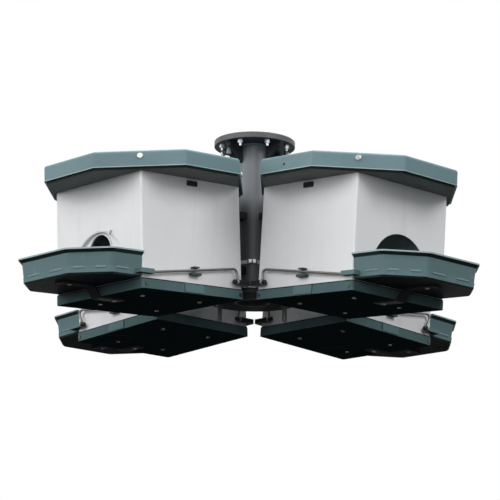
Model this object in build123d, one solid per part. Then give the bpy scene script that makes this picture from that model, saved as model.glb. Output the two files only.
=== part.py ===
"""Purple martin birdhouse: four single-room houses leaning outwards around a pole hub.

Millimetres. +Z is up along the pole socket, and the origin is the centre of the
socket's lower mouth. The front left house stands on -Y, the front right on +X,
the rear right on +Y and the rear left on -X.

Each house is modelled in its own frame: x runs outwards from the hub axis, y runs
along the porch, z is up, and the frame leans outwards about the hub by LEAN.
"""

import os
from math import cos, radians, sin, sqrt, tan

from build123d import *

# Layout of the houses round the hub
HOUSE_AZIMUTHS = {"front_left": -90, "front_right": 0, "rear_right": 90, "rear_left": 180}
REAR_HOUSES = ("rear_left", "rear_right")
OPEN_PORT_HOUSES = ("front_right",)
LEAN = 3.6
HOUSE_DROP = 9.0
INNER_FACE = 122.0

# Wall box
HOUSE_SIDE = 210.0
WALL_TOP = 174.0
WALL_SHEET = 1.2
WALL_BEND = 3.0
WALL_FLANGE = 14.0
SLIP = 0.1

# Floor pan
PAN_SHEET = 1.5
PAN_BOTTOM = -10.8
PAN_RIM_TOP = 4.3
PAN_GAP = 0.2
PAN_EDGE = 1.0
STRAP_WIDTH = 40.0
STRAP_SHEET = 0.8
SEAM_WIDTH = 1.8

# Roof lid and ceiling panel
ROOF_HALF = 163.0
ROOF_CORNER = 101.5
ROOF_GAP = 8.5
ROOF_HEIGHT = 26.0
ROOF_SHEET = 1.5
ROOF_LIP = 8.0
ROOF_EDGE = 5.0
ROOF_DRAIN_RADIUS = 2.0
CEILING_THICK = 3.7
CEILING_INSET = 4.0
CLEAT_WIDTH = 30.0
CLEAT_HEIGHT = 20.5
CLEAT_THICK = 3.0
TONGUE_WIDTH = 19.0
TONGUE_DROP = 12.0
TONGUE_THICK = 1.5
TONGUE_HOOK = 4.0
TONGUE_HOOK_HEIGHT = 8.0

# Port in the front wall and the entrance cap that plugs it
PORT_RADIUS = 64.0
PORT_CENTRE = 30.0
PORT_SILL = 12.0
CAP_GAP = 0.4
CAP_SHEET = 1.5
CAP_DEPTH = 6.0
ENTRANCE_RADIUS = 27.0
ENTRANCE_CENTRE = 62.5
CATCH_WIDTH = 3.0
CATCH_HEIGHT = 7.0
CATCH_REACH = 5.0
CATCH_ANGLE = 62.0

# Porch tray
TRAY_STEP = 2.5
TRAY_DEPTH = 107.0
TRAY_CORNER = 47.5
TRAY_TURN = 12.0
TRAY_FLOOR = 7.0
TRAY_WALL_FOOT = 9.5
TRAY_CREASE = 19.5
TRAY_TOP = 47.0
TRAY_SHEET = 2.0
TRAY_FLARE = 5.0
TRAY_LIP = 4.5
TRAY_LIP_THICK = 2.5
TRAY_LIP_SLOPE = 4.5

# Strut under the porch
STRUT_WIDTH = 20.0
STRUT_THICK = 3.0
STRUT_START = 288.0
STRUT_END = 412.0
STRUT_RISE = 14.0

# Locking rods, the pins that they turn on, and the clips that hold them
ROD_RADIUS = 2.0
PIN_RADIUS = 2.0
PIN_FIT = 0.08
PIN_HEIGHT = 15.5
EYE_INSET = 18.0
EYE_SIDE_GAP = 0.5
ROD_WALL_GAP = 0.6
ROD_BEND = 7.0
ROD_STRAIGHT = 6.0
SOCKET_DEPTH = 8.0
SOCKET_WALL = 1.7
FRONT_LEG_TOP = 37.0
FRONT_LEG_LEAN = 1.0
REAR_LEG_TOP = 44.0
REAR_LEG_LEAN = 11.0
INNER_LEG_TOP = 50.0
INNER_EYE_INSET = 26.0
INNER_LEG_LEAN = 3.0
HOOK_HEIGHT = 7.0
HOOK_SHORT_ARM = 12.0
HOOK_CHAMFER = 4.5
END_CAP_RADIUS = 3.6
END_CAP_LENGTH = 4.0
PRONG_ROOT = 13.0
CLIP_WIDTH = 19.0
CLIP_UPPER_WIDTH = 11.0
CLIP_PLATE = 1.5
CLIP_FINGER = 4.0
CLIP_UPPER_FINGER = 2.2
CLIP_PLATE_HEIGHT = 22.0
CLIP_REACH = 0.3
CLIP_UNDER_ROD = 2.3
CLIP_OVER_ROD = 1.5

# Screws and bolts of the houses
ROOF_BOLT_RADIUS = 2.5
ROOF_BOLT_RISE = 16.8
ROOF_BOLT_HEAD = 3.6
ROOF_BOLT_HEAD_HEIGHT = 2.4
RIM_SCREW_RADIUS = 1.5
RIM_SCREW_HEAD = 2.9
RIM_SCREW_HEAD_HEIGHT = 1.4
RIM_SCREW_INSET = 6.0
RIM_SCREW_HEIGHT = -3.5
PAN_BOLT_RADIUS = 2.0
PAN_BOLT_HEAD = 3.6
PAN_BOLT_HEAD_HEIGHT = 1.6
PAN_BOLT_SIDE = 52.0
PAN_BOLT_INSET = 45.0
STRUT_BOLT_PAN = 302.0
STRUT_BOLT_TRAY = 392.0

# Hub
TUBE_RADIUS = 30.0
BORE_RADIUS = 26.0
TUBE_LENGTH = 270.0
TOP_FLANGE_RADIUS = 69.0
TOP_FLANGE_THICK = 10.6
FLANGE_EDGE = 1.5
FLANGE_BOLT_COUNT = 8
FLANGE_BOLT_CIRCLE = 59.0
FLANGE_BOLT_RADIUS = 2.5
FLANGE_BOLT_HEAD = 4.6
FLANGE_BOLT_HEAD_HEIGHT = 1.8
FLANGE_NUT_HEIGHT = 6.0
FLANGE_BOLT_TAIL = 4.5
PLUG_RADIUS = 3.0
PLUG_FOOT_RADIUS = 4.6
PLUG_DROP = 9.0
PLUG_CIRCLE = 44.0
GUSSET_COUNT = 4
GUSSET_DROP = 32.0
GUSSET_REACH = 30.0
GUSSET_NOSE = 6.0
GUSSET_THICK = 5.0
LOWER_FLANGE_RADIUS = 75.0
LOWER_FLANGE_THICK = 6.2
COLLAR_RADIUS = 36.0
COLLAR_HEIGHT = 13.6
BAND_HEIGHT = 6.0
BAND_CENTRE = 64.0
BAND_THICK = 2.0
BAND_LUG_REACH = 7.0
BAND_LUG_WIDTH = 12.0
BAND_SLIT = 2.0
BAND_SCREW_RADIUS = 1.6
BAND_SCREW_HEAD = 2.8
BAND_SCREW_HEAD_HEIGHT = 2.5
HANGER_CIRCLE = 54.5
HANGER_RADIUS = 4.0
HANGER_NUT = 7.0
HANGER_NUT_HEIGHT = 6.5
HANGER_DROP = 31.0
HANGER_RISE = 9.0

# Brackets that carry the houses
BRACKET_PLATE_THICK = 3.0
BRACKET_PLATE_WIDTH = 60.0
BRACKET_PLATE_FOOT = 52.0
BRACKET_PLATE_TOP = 166.0
ARM_WIDTH = 26.0
ARM_HEIGHT = 12.0
LOWER_ARM = 44.0
UPPER_ARM = 137.0
BRACKET_BOLT_RADIUS = 3.0
BRACKET_BOLT_HEAD = 5.0
BRACKET_BOLT_HEAD_HEIGHT = 2.6
BRACKET_BOLT_SIDE = 20.0
BRACKET_BOLT_ROWS = (88.0, 120.0)

# Values that follow from the sizes above
FRONT_FACE = INNER_FACE + HOUSE_SIDE
HOUSE_MIDDLE = INNER_FACE + HOUSE_SIDE / 2
HALF_SIDE = HOUSE_SIDE / 2
TRAY_HALF = HALF_SIDE - TRAY_STEP
WALL_FOOT = PAN_BOTTOM + PAN_SHEET
PAN_HALF = HALF_SIDE + PAN_GAP + PAN_SHEET
ROOF_FOOT = WALL_TOP + CEILING_THICK
ROOF_HUB_CORNER = 2 * ROOF_HALF - HOUSE_MIDDLE + sqrt(2) * ROOF_GAP
EYE_RING = PIN_RADIUS + PIN_FIT + ROD_RADIUS
ROD_OFFSET = ROD_WALL_GAP + EYE_RING + ROD_RADIUS
HOUSE_DIRECTIONS = {name: Rot(0, 0, azimuth) for name, azimuth in HOUSE_AZIMUTHS.items()}


def house_location(name):
    """Frame of one house: turned to its side of the hub and leaning outwards."""
    return Pos(0, 0, -HOUSE_DROP) * HOUSE_DIRECTIONS[name] * Rot(0, LEAN, 0)


def block(x_low, x_high, y_low, y_high, z_low, z_high):
    """Box between two corners."""
    size = (x_high - x_low, y_high - y_low, z_high - z_low)
    centre = ((x_low + x_high) / 2, (y_low + y_high) / 2, (z_low + z_high) / 2)
    return Pos(*centre) * Box(*size)


def rod_between(start, end, radius):
    """Round bar from one point to another."""
    axis = Vector(*end) - Vector(*start)
    return extrude(Plane(origin=start, z_dir=axis) * Circle(radius), axis.length)


def hexagon_between(start, end, radius):
    """Hexagonal bar from one point to another, across its corners twice the radius."""
    axis = Vector(*end) - Vector(*start)
    return extrude(Plane(origin=start, z_dir=axis) * RegularPolygon(radius, 6), axis.length)


def octagon(half, corner, hub_corner):
    """Square with its corners cut off, centred on the house; the hub side has its own cut."""
    flat = half - corner
    hub_flat = half - hub_corner
    points = [
        (half, flat),
        (flat, half),
        (-hub_flat, half),
        (-half, hub_flat),
        (-half, -hub_flat),
        (-hub_flat, -half),
        (flat, -half),
        (half, -flat),
    ]
    return Pos(HOUSE_MIDDLE, 0) * Polygon(*points, align=None)


def roof_outline(inset):
    """The roof's outline, moved inwards by an even distance all round."""
    cut = (2 - sqrt(2)) * inset
    return octagon(ROOF_HALF - inset, ROOF_CORNER - cut, ROOF_HUB_CORNER - cut)


def roof_corners():
    """Angle of each cut corner of the roof, and its distance from the middle of the house."""
    outer = (2 * ROOF_HALF - ROOF_CORNER) / sqrt(2)
    inner = (2 * ROOF_HALF - ROOF_HUB_CORNER) / sqrt(2)
    return [(45, outer), (135, inner), (225, inner), (315, outer)]


def at_corner(angle, piece):
    """Turn a piece that points along +x to one of the roof's cut corners."""
    return Pos(HOUSE_MIDDLE, 0) * Rot(0, 0, angle) * piece


def arch(inset):
    """Outline of the port, seen along the house's x axis: round above, straight below."""
    radius = PORT_RADIUS - inset
    foot = PORT_SILL + inset
    lower = Pos(0, (PORT_CENTRE + foot) / 2) * Rectangle(2 * radius, PORT_CENTRE - foot)
    upper = Pos(0, PORT_CENTRE) * Circle(radius)
    skirt = Pos(0, foot - PORT_RADIUS) * Rectangle(4 * PORT_RADIUS, 2 * PORT_RADIUS)
    return upper + lower - skirt


def rod_span():
    """Distance from the leg of a side rod to the mouth of its socket."""
    return HOUSE_SIDE - 2 * EYE_INSET + ROD_RADIUS + EYE_SIDE_GAP


def run_height(leg_top, leg_lean, span):
    """Height of a rod's long run at the middle of the wall."""
    run_end = span - ROD_STRAIGHT
    share = (run_end - HOUSE_SIDE / 2 + EYE_INSET) / (run_end + leg_lean)
    return PIN_HEIGHT + (leg_top - PIN_HEIGHT) * share


def house_leg(name):
    """Leg height and lean of a house's side rods."""
    if name in REAR_HOUSES:
        return REAR_LEG_TOP, REAR_LEG_LEAN
    return FRONT_LEG_TOP, FRONT_LEG_LEAN


def clip_bands(name):
    """Heights of the lower and upper fingers of a house's rod clips."""
    middle = run_height(*house_leg(name), rod_span())
    lower_top = middle - ROD_RADIUS - CLIP_UNDER_ROD
    upper_foot = middle + ROD_RADIUS + CLIP_OVER_ROD
    return (lower_top - CLIP_FINGER, lower_top), (upper_foot, upper_foot + CLIP_UPPER_FINGER)


def mirrored(shape):
    """The same piece on the other side of the house."""
    return mirror(shape, Plane.XZ)


def rim_screw_places():
    """Where the rim screws stand along the side of the pan."""
    return INNER_FACE + RIM_SCREW_INSET, FRONT_FACE - RIM_SCREW_INSET


def pan_bolt_places():
    """Where bolts pass through the floor pan."""
    first = INNER_FACE + PAN_BOLT_INSET
    second = FRONT_FACE - PAN_BOLT_INSET
    return [(x, side * PAN_BOLT_SIDE) for x in (first, second) for side in (-1, 1)]


def roof_bolt_height():
    """Height of the bolts in the roof's cut corners."""
    return ROOF_FOOT + ROOF_BOLT_RISE


def make_walls(name):
    """Folded wall box with its port, slots and screw holes."""
    outer = Pos(HOUSE_MIDDLE, 0, WALL_FOOT) * extrude(
        RectangleRounded(HOUSE_SIDE, HOUSE_SIDE, WALL_BEND), WALL_TOP - WALL_FOOT
    )
    inside = HOUSE_SIDE - 2 * WALL_SHEET
    cavity = Pos(HOUSE_MIDDLE, 0, WALL_FOOT) * extrude(
        RectangleRounded(inside, inside, WALL_BEND - WALL_SHEET), WALL_TOP - WALL_SHEET - WALL_FOOT
    )
    mouth = inside - 2 * WALL_FLANGE
    top_hole = Pos(HOUSE_MIDDLE, 0, WALL_TOP) * Box(mouth, mouth, 4 * WALL_SHEET)
    walls = outer - cavity - top_hole
    port = Plane.YZ.offset(FRONT_FACE - 2 * WALL_SHEET) * arch(0)
    walls -= extrude(port, 4 * WALL_SHEET)
    lower, upper = clip_bands(name)
    hook_top = WALL_TOP - TONGUE_DROP + TONGUE_HOOK_HEIGHT
    slots = [
        (CLIP_WIDTH, lower[0], lower[1]),
        (CLIP_UPPER_WIDTH, upper[0], upper[1]),
        (TONGUE_WIDTH, WALL_TOP - TONGUE_DROP, hook_top),
    ]
    for width, low, high in slots:
        half = width / 2 + SLIP
        walls -= block(
            HOUSE_MIDDLE - half, HOUSE_MIDDLE + half, -HOUSE_SIDE, HOUSE_SIDE, low - SLIP, high + SLIP
        )
    for x in rim_screw_places():
        walls -= rod_between(
            (x, -HOUSE_SIDE, RIM_SCREW_HEIGHT), (x, HOUSE_SIDE, RIM_SCREW_HEIGHT), RIM_SCREW_RADIUS + SLIP
        )
    for height in BRACKET_BOLT_ROWS:
        for side in (-1, 1):
            y = side * BRACKET_BOLT_SIDE
            walls -= rod_between(
                (INNER_FACE - 1, y, height), (INNER_FACE + 5, y, height), BRACKET_BOLT_RADIUS + SLIP
            )
    return walls


def make_pan(name):
    """Folded floor pan with its overlapping straps, seams and holes."""
    height = PAN_RIM_TOP - PAN_BOTTOM
    outer = Pos(HOUSE_MIDDLE, 0, PAN_BOTTOM) * extrude(
        RectangleRounded(2 * PAN_HALF, 2 * PAN_HALF, WALL_BEND + PAN_SHEET + PAN_GAP), height
    )
    outer = fillet(outer.edges().group_by(Axis.Z)[0], PAN_EDGE)
    inside = 2 * (PAN_HALF - PAN_SHEET)
    cavity = Pos(HOUSE_MIDDLE, 0, WALL_FOOT) * extrude(
        RectangleRounded(inside, inside, WALL_BEND + PAN_GAP), height
    )
    pan = outer - cavity
    turn = 1 if name in REAR_HOUSES else -1
    near = HOUSE_MIDDLE - turn * STRAP_WIDTH / 2
    far = HOUSE_MIDDLE + turn * STRAP_WIDTH / 2
    strap_foot = PAN_BOTTOM + PAN_EDGE + STRAP_SHEET
    for side in (-1, 1):
        inner_y = side * (PAN_HALF - PAN_SHEET / 2)
        outer_y = side * (PAN_HALF + STRAP_SHEET)
        pan += block(
            min(near, far), max(near, far), min(inner_y, outer_y), max(inner_y, outer_y),
            strap_foot, PAN_RIM_TOP,
        )
        seam = near - turn * SEAM_WIDTH / 2
        slot_y = side * (PAN_HALF + 1)
        pan -= block(
            seam - SEAM_WIDTH / 2, seam + SEAM_WIDTH / 2, min(side * HALF_SIDE, slot_y),
            max(side * HALF_SIDE, slot_y), strap_foot, PAN_RIM_TOP + 1,
        )
    for x in rim_screw_places():
        pan -= rod_between(
            (x, -HOUSE_SIDE, RIM_SCREW_HEIGHT), (x, HOUSE_SIDE, RIM_SCREW_HEIGHT), RIM_SCREW_RADIUS + SLIP
        )
    for x, y in pan_bolt_places() + [(STRUT_BOLT_PAN, 0)]:
        pan -= rod_between((x, y, PAN_BOTTOM - 1), (x, y, WALL_FOOT + 1), PAN_BOLT_RADIUS + SLIP)
    return pan


def make_roof():
    """Shallow eight-sided lid with a folded rim and a return lip."""
    outer = extrude(roof_outline(0), ROOF_HEIGHT)
    outer = fillet(outer.edges().filter_by(Axis.Z), ROOF_EDGE)
    outer = fillet(outer.edges().group_by(Axis.Z)[-1], ROOF_EDGE)
    cavity = Pos(0, 0, ROOF_SHEET) * extrude(roof_outline(ROOF_SHEET), ROOF_HEIGHT - 2 * ROOF_SHEET)
    cavity = fillet(cavity.edges().filter_by(Axis.Z), ROOF_EDGE - ROOF_SHEET)
    cavity = fillet(cavity.edges().group_by(Axis.Z)[-1], ROOF_EDGE - ROOF_SHEET)
    mouth = Pos(0, 0, -1) * extrude(roof_outline(ROOF_SHEET + ROOF_LIP), 2 * ROOF_SHEET)
    roof = Pos(0, 0, ROOF_FOOT) * (outer - cavity - mouth)
    height = roof_bolt_height()
    for angle, face in roof_corners():
        hole = rod_between((face - 2 * ROOF_SHEET, 0, height), (face + 1, 0, height), ROOF_BOLT_RADIUS + SLIP)
        roof -= at_corner(angle, hole)
    drain = ROOF_FOOT + ROOF_HEIGHT * 0.4
    roof -= rod_between(
        (HOUSE_MIDDLE, -ROOF_HALF - 1, drain), (HOUSE_MIDDLE, -ROOF_HALF + 4, drain), ROOF_DRAIN_RADIUS
    )
    return roof


def make_ceiling():
    """Dark panel under the lid, with corner cleats above it and hooked tongues below."""
    panel = Pos(0, 0, WALL_TOP) * extrude(roof_outline(CEILING_INSET), CEILING_THICK)
    wall_inner = HALF_SIDE - WALL_SHEET
    for side in (-1, 1):
        tongue = block(
            HOUSE_MIDDLE - TONGUE_WIDTH / 2, HOUSE_MIDDLE + TONGUE_WIDTH / 2,
            wall_inner - TONGUE_THICK, wall_inner, WALL_TOP - TONGUE_DROP, WALL_TOP - WALL_SHEET,
        )
        neck = block(
            HOUSE_MIDDLE - TONGUE_WIDTH / 2, HOUSE_MIDDLE + TONGUE_WIDTH / 2,
            wall_inner - WALL_FLANGE - 2 * TONGUE_THICK, wall_inner - WALL_FLANGE - TONGUE_THICK / 2,
            WALL_TOP - WALL_SHEET - TONGUE_THICK, WALL_TOP,
        )
        bridge = block(
            HOUSE_MIDDLE - TONGUE_WIDTH / 2, HOUSE_MIDDLE + TONGUE_WIDTH / 2,
            wall_inner - WALL_FLANGE - 2 * TONGUE_THICK, wall_inner,
            WALL_TOP - WALL_SHEET - TONGUE_THICK, WALL_TOP - WALL_SHEET,
        )
        hook = block(
            HOUSE_MIDDLE - TONGUE_WIDTH / 2, HOUSE_MIDDLE + TONGUE_WIDTH / 2,
            wall_inner - TONGUE_THICK / 2, HALF_SIDE + TONGUE_HOOK,
            WALL_TOP - TONGUE_DROP, WALL_TOP - TONGUE_DROP + TONGUE_HOOK_HEIGHT,
        )
        piece = tongue + neck + bridge + hook
        panel += piece if side > 0 else mirrored(piece)
    for angle, face in roof_corners():
        panel += at_corner(angle, make_cleat(face - ROOF_SHEET))
    return panel


def make_cleat(outer):
    """Cleat behind one cut corner of the roof, on a foot that stands on the ceiling panel."""
    inner = outer - ROOF_LIP - 2 * CLEAT_THICK
    side = CLEAT_WIDTH / 2
    floor = ROOF_FOOT + ROOF_SHEET
    upright = block(outer - CLEAT_THICK, outer, -side, side, floor, ROOF_FOOT + CLEAT_HEIGHT)
    shelf = block(inner, outer, -side, side, floor, floor + CLEAT_THICK)
    foot = block(
        inner, outer - ROOF_LIP - SLIP, -side, side, WALL_TOP + CEILING_THICK / 2, floor + CLEAT_THICK
    )
    height = roof_bolt_height()
    hole = rod_between(
        (outer - 2 * CLEAT_THICK, 0, height), (outer + 1, 0, height), ROOF_BOLT_RADIUS + SLIP
    )
    return upright + shelf + foot - hole


def make_roof_bolts():
    """Four bolts through the roof's cut corners into the ceiling's cleats."""
    bolts = []
    height = roof_bolt_height()
    for angle, face in roof_corners():
        seat = (face, 0, height)
        shank = rod_between((face - ROOF_SHEET - CLEAT_THICK - 2, 0, height), seat, ROOF_BOLT_RADIUS)
        head = hexagon_between(seat, (face + ROOF_BOLT_HEAD_HEIGHT, 0, height), ROOF_BOLT_HEAD)
        bolts.append(at_corner(angle, shank + head))
    return bolts


def tray_outline(height, inset):
    """The porch's outline at one height: straight sides, rounded cut corners, straight front."""
    corner = TRAY_CORNER - (2 - sqrt(2)) * inset
    side = TRAY_HALF - inset
    front = FRONT_FACE + TRAY_DEPTH - inset
    back = FRONT_FACE - TRAY_DEPTH / 2
    points = [
        (back, -side),
        (front - corner, -side),
        (front, -side + corner),
        (front, side - corner),
        (front - corner, side),
        (back, side),
    ]
    outline = Polygon(*points, align=None)
    return Pos(0, 0, height) * fillet(outline.vertices(), TRAY_TURN)


def wall_inset(height):
    """How far the porch wall's outer face stands inside its foot; negative where it flares out."""
    return -max(0, height - TRAY_CREASE) * tan(radians(TRAY_FLARE))


def tray_stack(sections):
    """Solid between outlines given as (height, inset) pairs from the bottom up."""
    layers = [
        loft([tray_outline(*low), tray_outline(*high)], ruled=True)
        for low, high in zip(sections, sections[1:])
    ]
    stack = layers[0]
    for layer in layers[1:]:
        stack += layer
    return stack


def make_tray(has_pins):
    """Porch tray with creased, flared walls, an out-turned lip and two side prongs."""
    bevel = TRAY_WALL_FOOT - TRAY_FLOOR
    lip_foot = TRAY_TOP - TRAY_LIP_THICK - TRAY_LIP_SLOPE
    lip_inset = wall_inset(TRAY_TOP) - TRAY_LIP
    outer = tray_stack([
        (TRAY_FLOOR, bevel),
        (TRAY_WALL_FOOT, 0),
        (TRAY_CREASE, 0),
        (lip_foot, wall_inset(lip_foot)),
        (TRAY_TOP - TRAY_LIP_THICK, lip_inset),
        (TRAY_TOP, lip_inset),
    ])
    hollow = tray_stack([
        (TRAY_FLOOR + TRAY_SHEET, bevel + TRAY_SHEET),
        (TRAY_WALL_FOOT + TRAY_SHEET, TRAY_SHEET),
        (TRAY_CREASE, TRAY_SHEET),
        (TRAY_TOP + TRAY_SHEET, TRAY_SHEET + wall_inset(TRAY_TOP + TRAY_SHEET)),
    ])
    keep = block(FRONT_FACE, 3 * FRONT_FACE, -HOUSE_SIDE, HOUSE_SIDE, -HOUSE_SIDE, HOUSE_SIDE)
    tray = (outer - hollow) & keep
    for side in (-1, 1):
        prong = make_prong(has_pins)
        tray += prong if side > 0 else mirrored(prong)
    tray -= rod_between((STRUT_BOLT_TRAY, 0, 0), (STRUT_BOLT_TRAY, 0, TRAY_TOP), PAN_BOLT_RADIUS + SLIP)
    return tray


def arm_band():
    """Heights of the lower and upper faces of the arms that carry the rods."""
    return PIN_HEIGHT - HOOK_HEIGHT / 2, PIN_HEIGHT + HOOK_HEIGHT / 2


def finish_arm(arm, mouth, inwards, has_pin):
    """Add the pin for a rod's eye to an arm's end face, or bore the socket for its plain end."""
    mouth = Vector(*mouth)
    inwards = Vector(*inwards)
    if has_pin:
        tip = mouth - inwards * 2 * (ROD_RADIUS + EYE_SIDE_GAP)
        return arm + rod_between(tuple(mouth + inwards), tuple(tip), PIN_RADIUS)
    end = mouth + inwards * (SOCKET_DEPTH + 1)
    return arm - rod_between(tuple(mouth - inwards), tuple(end), ROD_RADIUS + PIN_FIT)


def make_prong(has_pin):
    """Ear on the porch's side that reaches back along the wall to the side rod."""
    axis = HALF_SIDE + ROD_OFFSET
    outer = axis + ROD_RADIUS + SOCKET_WALL
    mouth = FRONT_FACE - EYE_INSET + ROD_RADIUS + EYE_SIDE_GAP
    root = block(FRONT_FACE, FRONT_FACE + PRONG_ROOT, TRAY_HALF - TRAY_SHEET / 2, outer, *arm_band())
    reach = block(mouth, FRONT_FACE + PRONG_ROOT, HALF_SIDE + PAN_GAP, outer, *arm_band())
    return finish_arm(root + reach, (mouth, axis, PIN_HEIGHT), (1, 0, 0), has_pin)


def make_corner_hook(side_has_pin, inner_has_pin, has_inner_rod):
    """Dark hook round a hub-side corner of the wall box; its arms carry the rods' ends."""
    axis = HALF_SIDE + ROD_OFFSET
    inner_axis = INNER_FACE - ROD_OFFSET
    outer = axis + ROD_RADIUS + SOCKET_WALL
    back = inner_axis - ROD_RADIUS - SOCKET_WALL
    mouth = INNER_FACE + EYE_INSET - ROD_RADIUS - EYE_SIDE_GAP
    inner_mouth = HALF_SIDE - HOOK_SHORT_ARM
    if has_inner_rod:
        inner_mouth = HALF_SIDE - INNER_EYE_INSET + ROD_RADIUS + EYE_SIDE_GAP
    low, high = arm_band()
    points = [
        (back, outer - HOOK_CHAMFER),
        (back, inner_mouth),
        (INNER_FACE - PAN_GAP, inner_mouth),
        (INNER_FACE - PAN_GAP, HALF_SIDE + PAN_GAP),
        (mouth, HALF_SIDE + PAN_GAP),
        (mouth, outer),
        (back + HOOK_CHAMFER, outer),
    ]
    arms = Pos(0, 0, low) * extrude(Polygon(*points, align=None), high - low)
    hook = finish_arm(arms, (mouth, axis, PIN_HEIGHT), (-1, 0, 0), side_has_pin)
    if has_inner_rod:
        hook = finish_arm(hook, (inner_axis, inner_mouth, PIN_HEIGHT), (0, 1, 0), inner_has_pin)
    return hook


def make_side_cap(name):
    """Dark cap on the end of a side rod's pin, which keeps the eye on."""
    axis = HALF_SIDE + ROD_OFFSET
    past_eye = ROD_RADIUS + EYE_SIDE_GAP
    if name in REAR_HOUSES:
        start = FRONT_FACE - EYE_INSET - past_eye
        end = start - END_CAP_LENGTH
    else:
        start = INNER_FACE + EYE_INSET + past_eye
        end = start + END_CAP_LENGTH
    return rod_between((start, axis, PIN_HEIGHT), (end, axis, PIN_HEIGHT), END_CAP_RADIUS)


def make_inner_cap(name):
    """Dark cap on the end of the inner rod's pin."""
    inner_axis = INNER_FACE - ROD_OFFSET
    side = inner_leg_side(name)
    start = HALF_SIDE - INNER_EYE_INSET - ROD_RADIUS - EYE_SIDE_GAP
    end = start - END_CAP_LENGTH
    first = (inner_axis, side * start, PIN_HEIGHT)
    last = (inner_axis, side * end, PIN_HEIGHT)
    return rod_between(first, last, END_CAP_RADIUS)


def inner_leg_side(name):
    """Side of the house on which its inner rod has the leg."""
    return -1 if name == "rear_left" else 1


def make_rod(span, leg_top, leg_lean):
    """Bent locking rod: eye and leg at x = 0, plain end in the socket from x = span on."""
    top = leg_top - PIN_HEIGHT
    corners = [
        (0, 0, EYE_RING),
        (-leg_lean, 0, top),
        (span - ROD_STRAIGHT, 0, 0),
        (span + SOCKET_DEPTH, 0, 0),
    ]
    path = FilletPolyline(*corners, radius=ROD_BEND)
    profile = Plane(origin=path @ 0, z_dir=path % 0) * Circle(ROD_RADIUS)
    rod = sweep(profile, path=path)
    ring = Rot(0, 90, 0) * Torus(EYE_RING, ROD_RADIUS)
    return rod + ring


def make_side_rod(name):
    """Rod on the house's +y side, its leg towards the hub in front and the porch behind."""
    rod = make_rod(rod_span(), *house_leg(name))
    axis = HALF_SIDE + ROD_OFFSET
    if name in REAR_HOUSES:
        return Pos(FRONT_FACE - EYE_INSET, axis, PIN_HEIGHT) * Rot(0, 0, 180) * rod
    return Pos(INNER_FACE + EYE_INSET, axis, PIN_HEIGHT) * rod


def make_inner_rod(name):
    """Rod across the hub-side wall, its leg near the corner that shows at the front."""
    span = HOUSE_SIDE - 2 * INNER_EYE_INSET + ROD_RADIUS + EYE_SIDE_GAP
    rod = make_rod(span, INNER_LEG_TOP, INNER_LEG_LEAN)
    side = inner_leg_side(name)
    start = (INNER_FACE - ROD_OFFSET, side * (HALF_SIDE - INNER_EYE_INSET), PIN_HEIGHT)
    return Pos(*start) * Rot(0, 0, -side * 90) * rod


def make_clip(name):
    """Clip plate inside the wall with two fingers that reach out round the rod."""
    lower, upper = clip_bands(name)
    wall_inner = HALF_SIDE - WALL_SHEET
    reach = HALF_SIDE + ROD_OFFSET + ROD_RADIUS + CLIP_REACH
    middle = (lower[0] + upper[1]) / 2
    plate = block(
        HOUSE_MIDDLE - CLIP_WIDTH / 2, HOUSE_MIDDLE + CLIP_WIDTH / 2, wall_inner - CLIP_PLATE, wall_inner,
        middle - CLIP_PLATE_HEIGHT / 2, middle + CLIP_PLATE_HEIGHT / 2,
    )
    for width, band in ((CLIP_WIDTH, lower), (CLIP_UPPER_WIDTH, upper)):
        plate += block(
            HOUSE_MIDDLE - width / 2, HOUSE_MIDDLE + width / 2, wall_inner - CLIP_PLATE / 2, reach, *band
        )
    return plate


def make_rim_screws():
    """Dark screws through the pan's rim into the wall box."""
    screws = []
    head_seat = PAN_HALF
    for x in rim_screw_places():
        tip = (x, HALF_SIDE - WALL_SHEET - 2, RIM_SCREW_HEIGHT)
        seat = (x, head_seat, RIM_SCREW_HEIGHT)
        end = (x, head_seat + RIM_SCREW_HEAD_HEIGHT, RIM_SCREW_HEIGHT)
        screw = rod_between(tip, seat, RIM_SCREW_RADIUS) + rod_between(seat, end, RIM_SCREW_HEAD)
        screws += [screw, mirrored(screw)]
    return screws


def make_floor_bolt(x, y, low, high):
    """Bolt with its head below one face and its nut above another."""
    head = hexagon_between((x, y, low - PAN_BOLT_HEAD_HEIGHT), (x, y, low), PAN_BOLT_HEAD)
    nut = hexagon_between((x, y, high), (x, y, high + PAN_BOLT_HEAD_HEIGHT), PAN_BOLT_HEAD)
    shank = rod_between((x, y, low), (x, y, high + PAN_BOLT_HEAD_HEIGHT + 1), PAN_BOLT_RADIUS)
    return head + shank + nut


def make_floor_bolts():
    """Bolts of the floor pan and of the strut under the porch."""
    bolts = [make_floor_bolt(x, y, PAN_BOTTOM, WALL_FOOT) for x, y in pan_bolt_places()]
    bolts.append(make_floor_bolt(STRUT_BOLT_PAN, 0, PAN_BOTTOM - STRUT_THICK, WALL_FOOT))
    bolts.append(make_floor_bolt(STRUT_BOLT_TRAY, 0, TRAY_FLOOR - STRUT_THICK, TRAY_FLOOR + TRAY_SHEET))
    return bolts


def make_strut():
    """Flat bar from under the pan to under the porch, with a step between them."""
    lower = PAN_BOTTOM - STRUT_THICK / 2
    upper = TRAY_FLOOR - STRUT_THICK / 2
    bend = FRONT_FACE + PAN_SHEET + PAN_GAP + STRUT_THICK
    points = [
        (STRUT_START, lower),
        (bend, lower),
        (bend + STRUT_RISE, upper),
        (STRUT_END, upper),
    ]
    ribbon = trace(Polyline(*points), STRUT_THICK)
    section = Plane(origin=(0, STRUT_WIDTH / 2, 0), x_dir=(1, 0, 0), z_dir=(0, -1, 0)) * ribbon
    strut = extrude(section, STRUT_WIDTH)
    for x, z in ((STRUT_BOLT_PAN, lower), (STRUT_BOLT_TRAY, upper)):
        strut -= rod_between((x, 0, z - STRUT_THICK), (x, 0, z + STRUT_THICK), PAN_BOLT_RADIUS + SLIP)
    return strut


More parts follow.
